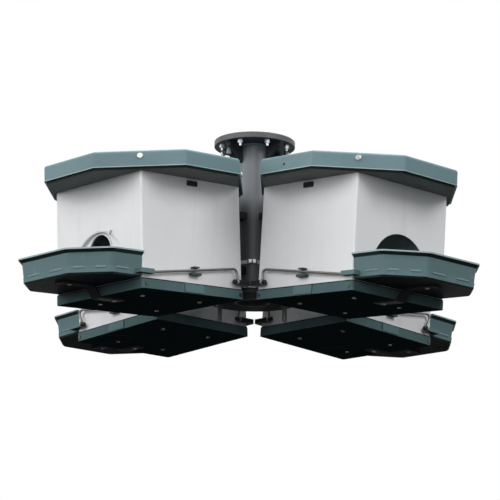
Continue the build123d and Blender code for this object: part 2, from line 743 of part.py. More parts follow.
def make_cap():
    """Entrance cap: a shallow cup in the port with the round entrance and a small catch."""
    face = FRONT_FACE - CAP_DEPTH - CAP_SHEET
    cup = extrude(Plane.YZ.offset(face) * arch(CAP_GAP), CAP_DEPTH + CAP_SHEET)
    cup -= extrude(Plane.YZ.offset(face + CAP_SHEET) * arch(CAP_GAP + CAP_SHEET), CAP_DEPTH + 1)
    behind = (face - 1, 0, ENTRANCE_CENTRE)
    before = (face + CAP_SHEET + 1, 0, ENTRANCE_CENTRE)
    cup -= rod_between(behind, before, ENTRANCE_RADIUS)
    rim = PORT_RADIUS - CAP_GAP - CAP_SHEET / 2
    catch = block(
        FRONT_FACE - 3, FRONT_FACE + CATCH_REACH, rim - CAP_SHEET / 2, rim + CAP_SHEET / 2,
        -CATCH_WIDTH / 2, CATCH_WIDTH / 2,
    )
    catch += block(
        FRONT_FACE + SLIP * 3, FRONT_FACE + CATCH_REACH, rim - CAP_SHEET / 2, rim + CATCH_HEIGHT,
        -CATCH_WIDTH / 2, CATCH_WIDTH / 2,
    )
    return cup + Pos(0, 0, PORT_CENTRE) * Rot(CATCH_ANGLE, 0, 0) * catch


def make_tube():
    """Pole socket tube."""
    return extrude(Circle(TUBE_RADIUS), TUBE_LENGTH) - extrude(Circle(BORE_RADIUS), TUBE_LENGTH)


def polar_places(radius, count, first):
    """Points spread evenly on a circle round the hub axis."""
    angles = [radians(first + 360 * i / count) for i in range(count)]
    return [(radius * cos(angle), radius * sin(angle)) for angle in angles]


def flange_bolt_places():
    """Middles of the top flange's bolts, half a step away from the gussets."""
    return polar_places(FLANGE_BOLT_CIRCLE, FLANGE_BOLT_COUNT, 180 / FLANGE_BOLT_COUNT)


def make_top_flange():
    """Thick round plate on the tube, with its bolt holes and the hole for its plug."""
    plate = extrude(Circle(TOP_FLANGE_RADIUS), TOP_FLANGE_THICK)
    plate = fillet(plate.edges(), FLANGE_EDGE)
    plate = Pos(0, 0, TUBE_LENGTH) * plate
    for x, y in flange_bolt_places():
        foot = (x, y, TUBE_LENGTH - TOP_FLANGE_THICK)
        top = (x, y, TUBE_LENGTH + 2 * TOP_FLANGE_THICK)
        plate -= rod_between(foot, top, FLANGE_BOLT_RADIUS + SLIP)
    hole = extrude(Circle(PLUG_RADIUS + SLIP), 3 * TOP_FLANGE_THICK)
    return plate - plug_place() * Pos(0, 0, -TOP_FLANGE_THICK) * hole


def plug_place():
    """Middle of the plug's hole at the underside of the top flange."""
    return Rot(0, 0, -135) * Pos(PLUG_CIRCLE, 0, TUBE_LENGTH)


def make_plug():
    """Light tapered plug that hangs in the top flange."""
    shank = extrude(Circle(PLUG_RADIUS), TOP_FLANGE_THICK)
    top = PLUG_RADIUS + 2 * SLIP
    taper = Pos(0, 0, -PLUG_DROP / 2) * Cone(PLUG_FOOT_RADIUS, top, PLUG_DROP)
    return plug_place() * (shank + taper)


def make_gussets():
    """Triangular webs between the tube and the top flange."""
    top = TUBE_LENGTH
    points = [
        (TUBE_RADIUS, top),
        (TUBE_RADIUS + GUSSET_REACH, top),
        (TUBE_RADIUS + GUSSET_REACH, top - GUSSET_NOSE),
        (TUBE_RADIUS, top - GUSSET_DROP),
    ]
    web = extrude(Plane.XZ * Polygon(*points, align=None), GUSSET_THICK / 2, both=True)
    web -= extrude(Circle(TUBE_RADIUS), 2 * TUBE_LENGTH)
    return [Rot(0, 0, 360 * i / GUSSET_COUNT) * web for i in range(GUSSET_COUNT)]


def make_flange_bolts():
    """Hexagon bolts of the top flange, with their nuts below."""
    bolts = []
    top = TUBE_LENGTH + TOP_FLANGE_THICK
    for x, y in flange_bolt_places():
        head = hexagon_between((x, y, top), (x, y, top + FLANGE_BOLT_HEAD_HEIGHT), FLANGE_BOLT_HEAD)
        nut = hexagon_between((x, y, TUBE_LENGTH - FLANGE_NUT_HEIGHT), (x, y, TUBE_LENGTH), FLANGE_BOLT_HEAD)
        foot = TUBE_LENGTH - FLANGE_NUT_HEIGHT - FLANGE_BOLT_TAIL
        bolts.append(head + nut + rod_between((x, y, foot), (x, y, top), FLANGE_BOLT_RADIUS))
    return bolts


def make_lower_flange():
    """Round plate and collar welded at the foot of the tube."""
    plate = extrude(Circle(LOWER_FLANGE_RADIUS), LOWER_FLANGE_THICK)
    plate = fillet(plate.edges(), FLANGE_EDGE)
    collar = extrude(Circle(COLLAR_RADIUS), LOWER_FLANGE_THICK + COLLAR_HEIGHT)
    flange = plate + collar - extrude(Circle(TUBE_RADIUS), TUBE_LENGTH)
    for x, y in hanger_places():
        flange -= rod_between((x, y, -1), (x, y, LOWER_FLANGE_THICK + 1), HANGER_RADIUS + SLIP)
    return flange


def hanger_places():
    """Middles of the two long bolts under the hub, to the left and right of the view."""
    return polar_places(HANGER_CIRCLE, 2, 45)


def make_hanger_bolts():
    """Long bolts that hang below the lower flange between two nuts each."""
    bolts = []
    for x, y in hanger_places():
        rod = rod_between((x, y, -HANGER_DROP), (x, y, LOWER_FLANGE_THICK + HANGER_RISE), HANGER_RADIUS)
        below = hexagon_between((x, y, -HANGER_NUT_HEIGHT), (x, y, 0), HANGER_NUT)
        top = LOWER_FLANGE_THICK
        above = hexagon_between((x, y, top), (x, y, top + HANGER_NUT_HEIGHT), HANGER_NUT)
        bolts.append(rod + below + above)
    return bolts


def band_turn():
    """Direction in which the band clamp's lugs point: the gap between the front houses."""
    return Rot(0, 0, -45)


def make_band():
    """Band clamp round the tube with two lugs and a slit between them."""
    foot = BAND_CENTRE - BAND_HEIGHT / 2
    outer = TUBE_RADIUS + BAND_THICK
    ring = Pos(0, 0, foot) * extrude(Circle(outer), BAND_HEIGHT)
    lugs = block(
        TUBE_RADIUS, outer + BAND_LUG_REACH, -BAND_LUG_WIDTH / 2, BAND_LUG_WIDTH / 2, foot, foot + BAND_HEIGHT
    )
    ring = ring + lugs - extrude(Circle(TUBE_RADIUS), TUBE_LENGTH)
    ring -= block(0, 2 * outer, -BAND_SLIT / 2, BAND_SLIT / 2, foot - 1, foot + BAND_HEIGHT + 1)
    x = outer + BAND_LUG_REACH / 2
    ring -= rod_between((x, -outer, BAND_CENTRE), (x, outer, BAND_CENTRE), BAND_SCREW_RADIUS + SLIP)
    return band_turn() * ring


def make_band_screw():
    """Screw that pulls the band clamp's lugs together."""
    x = TUBE_RADIUS + BAND_THICK + BAND_LUG_REACH / 2
    half = BAND_LUG_WIDTH / 2
    shank = rod_between((x, -half, BAND_CENTRE), (x, half, BAND_CENTRE), BAND_SCREW_RADIUS)
    end = half + BAND_SCREW_HEAD_HEIGHT
    head = rod_between((x, -end, BAND_CENTRE), (x, -half, BAND_CENTRE), BAND_SCREW_HEAD)
    nut = hexagon_between((x, half, BAND_CENTRE), (x, end, BAND_CENTRE), BAND_SCREW_HEAD)
    return band_turn() * (shank + head + nut)


def make_bracket(name):
    """Upright plate on a house's hub-side wall, with two arms that reach the tube."""
    seat = INNER_FACE - BRACKET_PLATE_THICK
    plate = block(
        seat, INNER_FACE, -BRACKET_PLATE_WIDTH / 2, BRACKET_PLATE_WIDTH / 2,
        BRACKET_PLATE_FOOT, BRACKET_PLATE_TOP,
    )
    for height in BRACKET_BOLT_ROWS:
        for side in (-1, 1):
            y = side * BRACKET_BOLT_SIDE
            hole = rod_between((seat - 1, y, height), (INNER_FACE + 1, y, height), BRACKET_BOLT_RADIUS + SLIP)
            plate -= hole
    bracket = house_location(name) * plate
    for foot in (LOWER_ARM, UPPER_ARM):
        rise = foot + HOUSE_DROP
        end = (seat + SLIP) * cos(radians(LEAN)) + rise * sin(radians(LEAN))
        arm = block(0, end + 1, -ARM_WIDTH / 2, ARM_WIDTH / 2, foot, foot + ARM_HEIGHT)
        arm -= extrude(Circle(TUBE_RADIUS), 2 * TUBE_LENGTH)
        bracket += HOUSE_DIRECTIONS[name] * arm
    return bracket


def make_bracket_bolts(name):
    """Bolts that hold a house's hub-side wall to its bracket."""
    seat = INNER_FACE - BRACKET_PLATE_THICK
    bolts = []
    for height in BRACKET_BOLT_ROWS:
        for side in (-1, 1):
            y = side * BRACKET_BOLT_SIDE
            inner = INNER_FACE + WALL_SHEET
            head = hexagon_between(
                (seat - BRACKET_BOLT_HEAD_HEIGHT, y, height), (seat, y, height), BRACKET_BOLT_HEAD
            )
            nut = hexagon_between(
                (inner, y, height), (inner + 2 * BRACKET_BOLT_HEAD_HEIGHT, y, height), BRACKET_BOLT_HEAD
            )
            shank = rod_between((seat, y, height), (inner + 2, y, height), BRACKET_BOLT_RADIUS)
            bolts.append(house_location(name) * (head + nut + shank))
    return bolts


def both_sides(piece):
    """A piece and its copy on the other side of the house."""
    return [piece, mirrored(piece)]


def save(node, shapes):
    """Write one node, which holds one piece or a list of like pieces."""
    pieces = shapes if isinstance(shapes, list) else [shapes]
    solids = [solid for piece in pieces for solid in piece.solids()]
    shape = solids[0] if len(solids) == 1 else Compound(children=solids)
    export_step(shape, f"parts/{node}.step")


def save_house(name):
    """Write the nodes of one house and return its screws, bolts and pin caps."""
    place = house_location(name)
    is_rear = name in REAR_HOUSES
    side_rod = make_side_rod(name)
    leg_side = inner_leg_side(name)
    hooks = {side: make_corner_hook(not is_rear, side == leg_side, is_rear) for side in (1, -1)}
    side_cap = make_side_cap(name)
    caps = both_sides(side_cap)
    nodes = {
        "roof": make_roof(),
        "ceiling_panel": make_ceiling(),
        "walls": make_walls(name),
        "floor_pan": make_pan(name),
        "porch_tray": make_tray(is_rear),
        "porch_strut": make_strut(),
        "rod_left": side_rod,
        "rod_right": mirrored(side_rod),
        "corner_hooks": [hooks[1], mirrored(hooks[-1])],
        "rod_clips": both_sides(make_clip(name)),
    }
    if is_rear:
        nodes["rod_inner"] = make_inner_rod(name)
        caps.append(make_inner_cap(name))
    if name not in OPEN_PORT_HOUSES:
        nodes["entrance_cap"] = make_cap()
    for node, shapes in nodes.items():
        pieces = shapes if isinstance(shapes, list) else [shapes]
        save(f"{name}_{node}", [place * piece for piece in pieces])
    return {
        "roof_bolts": [place * bolt for bolt in make_roof_bolts()],
        "rim_screws": [place * screw for screw in make_rim_screws()],
        "floor_bolts": [place * bolt for bolt in make_floor_bolts()],
        "rod_end_caps": [place * cap for cap in caps],
    }


def save_hub():
    """Write the nodes of the hub."""
    save("hub_tube", make_tube())
    save("top_flange", make_top_flange())
    save("top_gussets", make_gussets())
    save("flange_plug", make_plug())
    save("top_flange_bolts", make_flange_bolts())
    save("lower_flange", make_lower_flange())
    save("hanger_bolts", make_hanger_bolts())
    save("band_clamp", make_band())
    save("band_screw", make_band_screw())
    save("house_brackets", [make_bracket(name) for name in HOUSE_AZIMUTHS])
    save("bracket_bolts", [bolt for name in HOUSE_AZIMUTHS for bolt in make_bracket_bolts(name)])


def main():
    """Write every node into parts/."""
    os.makedirs("parts", exist_ok=True)
    shared = {}
    for name in HOUSE_AZIMUTHS:
        for node, pieces in save_house(name).items():
            shared.setdefault(node, []).extend(pieces)
    for node, pieces in shared.items():
        save(node, pieces)
    save_hub()


main()
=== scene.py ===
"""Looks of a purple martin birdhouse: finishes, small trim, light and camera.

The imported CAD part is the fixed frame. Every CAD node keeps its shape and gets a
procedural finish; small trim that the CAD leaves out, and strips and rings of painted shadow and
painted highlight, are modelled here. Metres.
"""

import logging
import math
from dataclasses import dataclass, field
from enum import Enum
from typing import Callable, Iterable, Sequence, Union

import bpy
from mathutils import Matrix, Vector


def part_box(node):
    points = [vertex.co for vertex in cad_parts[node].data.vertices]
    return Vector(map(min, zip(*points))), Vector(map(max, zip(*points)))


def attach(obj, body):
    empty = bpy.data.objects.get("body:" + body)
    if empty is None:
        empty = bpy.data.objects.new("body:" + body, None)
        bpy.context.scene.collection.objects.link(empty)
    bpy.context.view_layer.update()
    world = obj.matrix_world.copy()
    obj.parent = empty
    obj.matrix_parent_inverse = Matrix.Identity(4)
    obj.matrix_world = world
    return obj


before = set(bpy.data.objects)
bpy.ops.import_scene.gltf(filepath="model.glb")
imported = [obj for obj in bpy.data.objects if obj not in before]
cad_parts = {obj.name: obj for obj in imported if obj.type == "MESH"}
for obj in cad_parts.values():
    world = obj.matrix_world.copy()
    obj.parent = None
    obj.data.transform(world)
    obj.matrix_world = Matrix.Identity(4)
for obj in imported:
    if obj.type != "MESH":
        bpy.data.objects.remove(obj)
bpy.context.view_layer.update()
LOG = logging.getLogger("birdhouse")

Colour = tuple[float, float, float]
Operand = Union["Value", float]
Thing = bpy.types.Object

# Sockets of a Mix node that mixes colours.
MIX_FACTOR, MIX_FIRST, MIX_SECOND, MIX_RESULT = 0, 6, 7, 2
# A face looks along an axis when this much of its normal lies along it.
SQUARE_ON = 0.9


class Side(Enum):
    """The four houses by name, with the direction in which each one faces."""

    FRONT_LEFT = ("front_left", -90)
    FRONT_RIGHT = ("front_right", 0)
    REAR_RIGHT = ("rear_right", 90)
    REAR_LEFT = ("rear_left", 180)

    @property
    def label(self) -> str:
        """Name that the house's nodes begin with."""
        return self.value[0]

    @property
    def has_cap(self) -> bool:
        """True where the port is plugged by an entrance cap."""
        return f"{self.label}_entrance_cap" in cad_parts


@dataclass(frozen=True)
class HouseFrame:
    """Where a house's own frame stands: x outwards, y along the porch, z up."""

    lean: float = math.radians(3.6)
    drop: float = 0.009
    inner_face: float = 0.122
    side: float = 0.210

    @property
    def front_face(self) -> float:
        """Distance of the front wall from the hub's axis."""
        return self.inner_face + self.side

    @property
    def middle(self) -> float:
        """Distance of the house's middle from the hub's axis."""
        return self.inner_face + self.side / 2

    def matrix(self, side: Side) -> Matrix:
        """Place of a house's own frame.

        Args:
            side: The house.

        Returns:
            Matrix from the house's frame to the row frame.
        """
        turn = Matrix.Rotation(math.radians(side.value[1]), 4, "Z")
        tilt = Matrix.Rotation(self.lean, 4, "Y")
        return Matrix.Translation((0.0, 0.0, -self.drop)) @ turn @ tilt


HOUSE = HouseFrame()


class Value:
    """A socket of a material, with arithmetic that adds Math nodes."""

    def __init__(self, paint: "Paint", socket: bpy.types.NodeSocket) -> None:
        """Wrap one output socket.

        Args:
            paint: The material being built.
            socket: The output socket.
        """
        self.paint = paint
        self.socket = socket

    def _math(self, operation: str, left: Operand, right: Operand) -> "Value":
        """Add a Math node.

        Args:
            operation: Blender's name of the operation.
            left: First operand.
            right: Second operand.

        Returns:
            The node's result.
        """
        return self.paint.node("ShaderNodeMath", {"operation": operation}, {0: left, 1: right})

    def __add__(self, other: Operand) -> "Value":
        """Sum with a socket or number."""
        return self._math("ADD", self, other)

    def __radd__(self, other: Operand) -> "Value":
        """Sum with a number on the left."""
        return self._math("ADD", other, self)

    def __sub__(self, other: Operand) -> "Value":
        """Difference with a socket or number."""
        return self._math("SUBTRACT", self, other)

    def __rsub__(self, other: Operand) -> "Value":
        """Difference with a number on the left."""
        return self._math("SUBTRACT", other, self)

    def __mul__(self, other: Operand) -> "Value":
        """Product with a socket or number."""
        return self._math("MULTIPLY", self, other)

    def __rmul__(self, other: Operand) -> "Value":
        """Product with a number on the left."""
        return self._math("MULTIPLY", other, self)


@dataclass(frozen=True)
class Pattern:
    """One noise pattern of a surface.

    Attributes:
        scale: Cycles per metre.
        detail: Octaves.
        low: Noise at which its mask is 0.
        high: Noise at which its mask is 1.
        stretch: Factors along X, Y and Z, on top of the scale.
    """

    scale: float
    detail: float
    low: float = 0.0
    high: float = 1.0
    stretch: Union[tuple[float, float, float], None] = None


class Paint:
    """Builds one node material on object coordinates."""

    NOISE_ROUGHNESS = 0.55
    FACING_DOWN = (0.45, 0.85)

    def __init__(self, name: str) -> None:
        """Start a material with its shader and coordinates.

        Args:
            name: The material's name.
        """
        self.material = bpy.data.materials.new(name)
        self.material.use_nodes = True
        self.tree = self.material.node_tree
        self.tree.nodes.clear()
        self.shader = self.tree.nodes.new("ShaderNodeBsdfPrincipled")
        output = self.tree.nodes.new("ShaderNodeOutputMaterial")
        self.tree.links.new(self.shader.outputs[0], output.inputs["Surface"])
        coordinates = self.tree.nodes.new("ShaderNodeTexCoord")
        self.place = Value(self, coordinates.outputs["Object"])

    def node(self, kind: str, settings: dict, inputs: dict, output: Union[int, str] = 0) -> Value:
        """Add any node.

        Args:
            kind: Blender's node type.
            settings: Properties to set first.
            inputs: Values or links by socket name or index.
            output: Which output to hand back.

        Returns:
            The chosen output.
        """
        made = self.tree.nodes.new(kind)
        for key, setting in settings.items():
            setattr(made, key, setting)
        for key, value in inputs.items():
            self._feed(made.inputs[key], value)
        return Value(self, made.outputs[output])

    def _feed(self, socket: bpy.types.NodeSocket, value: object) -> None:
        """Link a socket or set its value.

        Args:
            socket: The input socket.
            value: A Value, number, colour or vector.
        """
        if isinstance(value, Value):
            self.tree.links.new(value.socket, socket)
        elif socket.type == "RGBA":
            socket.default_value = (*value, 1.0)
        else:
            socket.default_value = value

    def set(self, **inputs: object) -> None:
        """Set or link sockets of the shader, their names with underscores for spaces."""
        for key, value in inputs.items():
            self._feed(self.shader.inputs[key.replace("_", " ")], value)

    def noise(self, pattern: Pattern) -> Value:
        """Soft noise from 0 to 1.

        Args:
            pattern: Its scale, detail and stretch.

        Returns:
            The noise.
        """
        place = self.place
        if pattern.stretch:
            place = self.node("ShaderNodeMapping", {}, {"Vector": place, "Scale": pattern.stretch})
        inputs = {
            "Vector": place,
            "Scale": pattern.scale,
            "Detail": pattern.detail,
            "Roughness": self.NOISE_ROUGHNESS,
        }
        return self.node("ShaderNodeTexNoise", {}, inputs, "Fac")

    def mask(self, value: Value, low: float, high: float) -> Value:
        """Smooth step of a value.

        Args:
            value: What is tested.
            low: Where the mask is 0.
            high: Where the mask is 1.

        Returns:
            The mask.
        """
        settings = {"interpolation_type": "SMOOTHSTEP"}
        inputs = {"Value": value, "From Min": low, "From Max": high}
        return self.node("ShaderNodeMapRange", settings, inputs)

    def spots(self, pattern: Pattern) -> Value:
        """Mask of the places where a pattern's noise is high."""
        return self.mask(self.noise(pattern), pattern.low, pattern.high)

    def underside(self) -> Value:
        """Mask of the faces that point down, used to place painted shade."""
        normal = self.node("ShaderNodeNewGeometry", {}, {}, "Normal")
        upward = self.node("ShaderNodeSeparateXYZ", {}, {"Vector": normal}, "Z")
        return self.mask(-1.0 * upward, *self.FACING_DOWN)

    def blend(self, factor: Operand, first: object, second: object) -> Value:
        """Mix of two colours.

        Args:
            factor: 0 for the first colour, 1 for the second.
            first: First colour.
            second: Second colour.

        Returns:
            The mixed colour.
        """
        inputs = {MIX_FACTOR: factor, MIX_FIRST: first, MIX_SECOND: second}
        return self.node("ShaderNodeMix", {"data_type": "RGBA"}, inputs, MIX_RESULT)

    def bump(self, height: Operand, distance: float, strength: float) -> Value:
        """Normal from a height.

        Args:
            height: The height field, 0 to 1.
            distance: Its depth in metres.
            strength: How much of it is used.

        Returns:
            The normal.
        """
        inputs = {"Height": height, "Distance": distance, "Strength": strength}
        return self.node("ShaderNodeBump", {}, inputs)


def shade(colour: Colour, factor: float) -> Colour:
    """A colour made darker or lighter by one factor."""
    return tuple(min(1.0, part * factor) for part in colour)


@dataclass(frozen=True)
class Enamel:
    """Baked enamel on folded sheet: slight orange peel, water streaks and dust.

    Attributes:
        colour: The clean paint.
        dirt: Colour of streaks and specks.
        streaks: How much of the streaks shows.
        clouds: How much of the darker clouds shows.
        roughness: Roughness of the clean paint.
        gloss: Strength of the reflections.
        under: Factor on the colour of undersides, painted shade where little light reaches them.
    """

    CLOUDS = Pattern(7.0, 4.0, 0.35, 0.75)
    STREAKS = Pattern(1.0, 4.0, 0.52, 0.80, stretch=(55.0, 55.0, 4.0))
    SPECKS = Pattern(260.0, 2.0, 0.70, 0.82)
    PEEL = Pattern(520.0, 2.0)
    DENTS = Pattern(24.0, 2.0)
    CLOUD_SHADE = 0.72
    SPECK_SHARE = 0.35
    STREAK_ROUGHNESS = 0.16
    CLOUD_ROUGHNESS = 0.08
    DENT_SHARE = 2.0
    RELIEF = (0.0004, 0.35)

    colour: Colour
    dirt: Colour = (0.20, 0.19, 0.17)
    streaks: float = 0.25
    clouds: float = 0.12
    roughness: float = 0.42
    gloss: float = 0.5
    under: float = 1.0

    def material(self, name: str) -> bpy.types.Material:
        """Build the finish.

        Args:
            name: The material's name.

        Returns:
            The material.
        """
        paint = Paint(name)
        clouds = paint.spots(self.CLOUDS)
        streaks = paint.spots(self.STREAKS)
        specks = paint.spots(self.SPECKS)
        cloudy = shade(self.colour, self.CLOUD_SHADE)
        body = paint.blend(clouds * self.clouds, self.colour, cloudy)
        body = paint.blend(streaks * self.streaks, body, self.dirt)
        body = paint.blend(specks * self.SPECK_SHARE, body, self.dirt)
        # Painted shade: undersides are darkened by the under factor.
        if self.under < 1.0:
            body = paint.blend(paint.underside(), body, shade(self.colour, self.under))
        relief = paint.noise(self.PEEL) + self.DENT_SHARE * paint.noise(self.DENTS)
        wear = self.roughness + self.STREAK_ROUGHNESS * streaks + self.CLOUD_ROUGHNESS * clouds
        paint.set(
            Base_Color=body,
            Roughness=wear,
            Normal=paint.bump(relief, *self.RELIEF),
            Specular_IOR_Level=self.gloss,
        )
        return paint.material


@dataclass(frozen=True)
class Moulded:
    """Moulded plastic: fine grain, faint flow marks and scuffs in the chalk's colour."""

    FLOW = Pattern(5.0, 3.0, 0.3, 0.7, stretch=(1.0, 1.0, 3.5))
    SCUFFS = Pattern(38.0, 5.0, 0.58, 0.78)
    GRAIN = Pattern(900.0, 2.0)
    FLOW_SHADE = 0.78
    FLOW_SHARE = 0.5
    SCUFF_ROUGHNESS = 0.15
    FLOW_ROUGHNESS = 0.05
    FLOW_HEIGHT = 1.5
    RELIEF = (0.0002, 0.4)

    colour: Colour
    chalk: Colour = (0.45, 0.50, 0.50)
    scuffs: float = 0.18
    roughness: float = 0.5
    gloss: float = 0.5
    # Factor on the colour of undersides, painted shade where little light reaches them.
    under: float = 1.0

    def material(self, name: str) -> bpy.types.Material:
        """Build the finish.

        Args:
            name: The material's name.

        Returns:
            The material.
        """
        paint = Paint(name)
        flow = paint.noise(self.FLOW)
        marks = paint.mask(flow, self.FLOW.low, self.FLOW.high)
        scuffs = paint.spots(self.SCUFFS)
        darker = shade(self.colour, self.FLOW_SHADE)
        body = paint.blend(marks * self.FLOW_SHARE, self.colour, darker)
        body = paint.blend(scuffs * self.scuffs, body, self.chalk)
        # Painted shade: undersides are darkened by the under factor.
        if self.under < 1.0:
            body = paint.blend(paint.underside(), body, shade(self.colour, self.under))
        relief = paint.noise(self.GRAIN) + self.FLOW_HEIGHT * flow
        paint.set(
            Base_Color=body,
            Roughness=self.roughness + self.SCUFF_ROUGHNESS * scuffs + self.FLOW_ROUGHNESS * flow,
            Specular_IOR_Level=self.gloss,
            Normal=paint.bump(relief, *self.RELIEF),
        )
        return paint.material


@dataclass(frozen=True)
class BareMetal:
    """Plated or drawn steel: brushed bands, stains and small pits in the tarnish's colour."""

    STAINS = Pattern(90.0, 5.0, 0.45, 0.72)
    BRUSH = Pattern(1.0, 3.0, stretch=(300.0, 300.0, 2600.0))
    PITS = Pattern(700.0, 2.0, 0.66, 0.78)
    PIT_SHARE = 0.4
    PIT_DEPTH = 0.6
    STAIN_DULLING = 0.35
    STAIN_ROUGHNESS = 0.22
    BRUSH_ROUGHNESS = 0.12
    RELIEF = (0.00012, 0.5)

    colour: Colour
    tarnish: Colour = (0.12, 0.11, 0.10)
    stain: float = 0.4
    roughness: float = 0.32
    metal: float = 1.0

    def material(self, name: str) -> bpy.types.Material:
        """Build the finish.

        Args:
            name: The material's name.

        Returns:
            The material.
        """
        paint = Paint(name)
        stains = paint.spots(self.STAINS)
        brush = paint.noise(self.BRUSH)
        pits = paint.spots(self.PITS)
        body = paint.blend(stains * self.stain, self.colour, self.tarnish)
        body = paint.blend(pits * self.PIT_SHARE, body, self.tarnish)
        wear = self.roughness + self.STAIN_ROUGHNESS * stains + self.BRUSH_ROUGHNESS * brush
        paint.set(
            Base_Color=body,
            Metallic=self.metal - self.STAIN_DULLING * self.metal * stains,
            Roughness=wear,
            Normal=paint.bump(brush - self.PIT_DEPTH * pits, *self.RELIEF),
        )
        return paint.material


@dataclass(frozen=True)
class Board:
    """Matt panel with a fibrous surface and dust, with painted shade wherever it doesn't face
    down.

    Attributes:
        colour: The clean underside.
        dust: Colour of the dust.
        edge: Colour of the faces that don't point down, painted shade for the shadowed panel edge
            behind the roof's rim.
    """

    FIBRES = Pattern(1.0, 5.0, 0.55, 0.8, stretch=(420.0, 70.0, 420.0))
    DUST = Pattern(16.0, 4.0, 0.45, 0.75)
    DUST_SHARE = 0.35
    FIBRE_SHARE = 0.4
    FIBRE_SHADE = 1.5
    ROUGHNESS = 0.78
    DUST_ROUGHNESS = 0.12
    GLOSS = 0.1
    RELIEF = (0.0003, 0.4)

    colour: Colour
    dust: Colour = (0.10, 0.10, 0.095)
    edge: Colour = (0.030, 0.034, 0.033)

    def material(self, name: str) -> bpy.types.Material:
        """Build the finish.

        Args:
            name: The material's name.

        Returns:
            The material.
        """
        paint = Paint(name)
        fibres = paint.noise(self.FIBRES)
        threads = paint.mask(fibres, self.FIBRES.low, self.FIBRES.high)
        dust = paint.spots(self.DUST)
        body = paint.blend(dust * self.DUST_SHARE, self.colour, self.dust)
        lighter = shade(self.colour, self.FIBRE_SHADE)
        body = paint.blend(threads * self.FIBRE_SHARE, body, lighter)
        # Painted shade: faces that don't point down take the dark edge colour.
        body = paint.blend(paint.underside(), self.edge, body)
        paint.set(
            Base_Color=body,
            Roughness=self.ROUGHNESS + self.DUST_ROUGHNESS * dust,
            Specular_IOR_Level=self.GLOSS,
            Normal=paint.bump(fibres, *self.RELIEF),
        )
        return paint.material


class Finish(Enum):
    """Every finish of the birdhouse."""

    ROOF = Enamel((0.130, 0.222, 0.243), streaks=0.16, clouds=0.45, gloss=0.35)
    WALLS = Enamel(
        (0.80, 0.80, 0.81), dirt=(0.42, 0.41, 0.38), streaks=0.14, clouds=0.14, roughness=0.5
    )
    # The under factors of PAN and TRAY darken their undersides as painted shade.
    PAN = Enamel((0.098, 0.160, 0.168), streaks=0.16, clouds=0.5, gloss=0.0, under=0.2)
    STRAP = Enamel((0.130, 0.208, 0.217), streaks=0.16, gloss=0.0)
    TRAY = Moulded((0.122, 0.196, 0.206), gloss=0.10, under=0.05)
    # Lighter copy of the tray's colour for the strokes: painted highlight, as on faces that catch
    # the light.
    STROKE = Moulded((0.160, 0.240, 0.250), gloss=0.10)
    # Light teal for the strips along the porch lip and the roof rim: painted highlight.
    EDGE = Moulded((0.31, 0.41, 0.42), chalk=(0.60, 0.66, 0.66), roughness=0.35)
    CLIP = Moulded((0.050, 0.075, 0.080), scuffs=0.1, gloss=0.2)
    BLACK = Moulded((0.012, 0.013, 0.014), chalk=(0.08, 0.08, 0.08), roughness=0.42, gloss=0.3)
    # Near-black strip round the foot of the wall box: painted shadow.
    SEAL = Moulded((0.006, 0.008, 0.009), chalk=(0.03, 0.03, 0.03), roughness=0.6, gloss=0.1)
    CAP = Moulded((0.80, 0.80, 0.81), chalk=(0.55, 0.54, 0.52), scuffs=0.14, roughness=0.45)
    BOARD = Board((0.155, 0.167, 0.163))
    HUB = Enamel((0.096, 0.104, 0.114), dirt=(0.20, 0.19, 0.18), streaks=0.2, roughness=0.38)
    # The under factor darkens the flange's underside as painted shade.
    FLANGE = Enamel(
        (0.085, 0.086, 0.096), dirt=(0.20, 0.19, 0.18), streaks=0.2, under=0.3, gloss=0.3
    )
    DARK = Enamel(
        (0.016, 0.018, 0.020), dirt=(0.05, 0.048, 0.045), streaks=0.2, roughness=0.5, gloss=0.2
    )
    BOLT = BareMetal((0.50, 0.51, 0.53), stain=0.6, metal=0.8)
    BAND = BareMetal((0.78, 0.79, 0.80), stain=0.2, metal=0.25)
    WIRE = BareMetal((0.20, 0.20, 0.20), stain=0.45, roughness=0.34, metal=0.8)
    BLACKENED = BareMetal((0.09, 0.09, 0.095), stain=0.5, roughness=0.4)


# Finish of each CAD node, by the word that its name ends with.
NODE_FINISHES: dict[str, Finish] = {
    "ceiling_panel": Finish.BOARD,
    "walls": Finish.WALLS,
    "floor_pan": Finish.PAN,
    "porch_tray": Finish.TRAY,
    "porch_strut": Finish.DARK,
    "corner_hooks": Finish.BLACK,
    "rod_clips": Finish.CLIP,
    "rod_end_caps": Finish.BLACK,
    "rod_left": Finish.WIRE,
    "rod_right": Finish.WIRE,
    "rod_inner": Finish.WIRE,
    "entrance_cap": Finish.CAP,
    "_roof": Finish.ROOF,
    "roof_bolts": Finish.BOLT,
    "rim_screws": Finish.BLACKENED,
    "floor_bolts": Finish.BOLT,
    "bracket_bolts": Finish.BOLT,
    "top_flange_bolts": Finish.BOLT,
    "hanger_bolts": Finish.WIRE,
    "band_clamp": Finish.BAND,
    "band_screw": Finish.BLACKENED,
    "hub_tube": Finish.HUB,
    "top_flange": Finish.FLANGE,
    "flange_plug": Finish.CAP,
    "top_gussets": Finish.DARK,
    "lower_flange": Finish.DARK,
    "house_brackets": Finish.DARK,
}


class Wardrobe:
    """Makes each finish once and puts it on nodes and pieces."""

    def __init__(self) -> None:
        """Start with no materials."""
        self.made: dict[Finish, bpy.types.Material] = {}

    def material(self, finish: Finish) -> bpy.types.Material:
        """Material of a finish, made on first use."""
        if finish not in self.made:
            self.made[finish] = finish.value.material(f"{finish.name.lower()}_finish")
        return self.made[finish]

    def dress(self, thing: Thing, finish: Finish) -> None:
        """Put one finish on a whole object.

        Args:
            thing: A node or piece.
            finish: The finish.
        """
        if not thing.material_slots:
            thing.data.materials.append(self.material(finish))
        for material_slot in thing.material_slots:
            material_slot.material = self.material(finish)

    def dress_nodes(self) -> None:
        """Put its finish on every CAD node."""
        for name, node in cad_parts.items():
            ending = next(word for word in NODE_FINISHES if name.endswith(word))
            self.dress(node, NODE_FINISHES[ending])
            LOG.info("dressed %s as %s", name, NODE_FINISHES[ending].name)


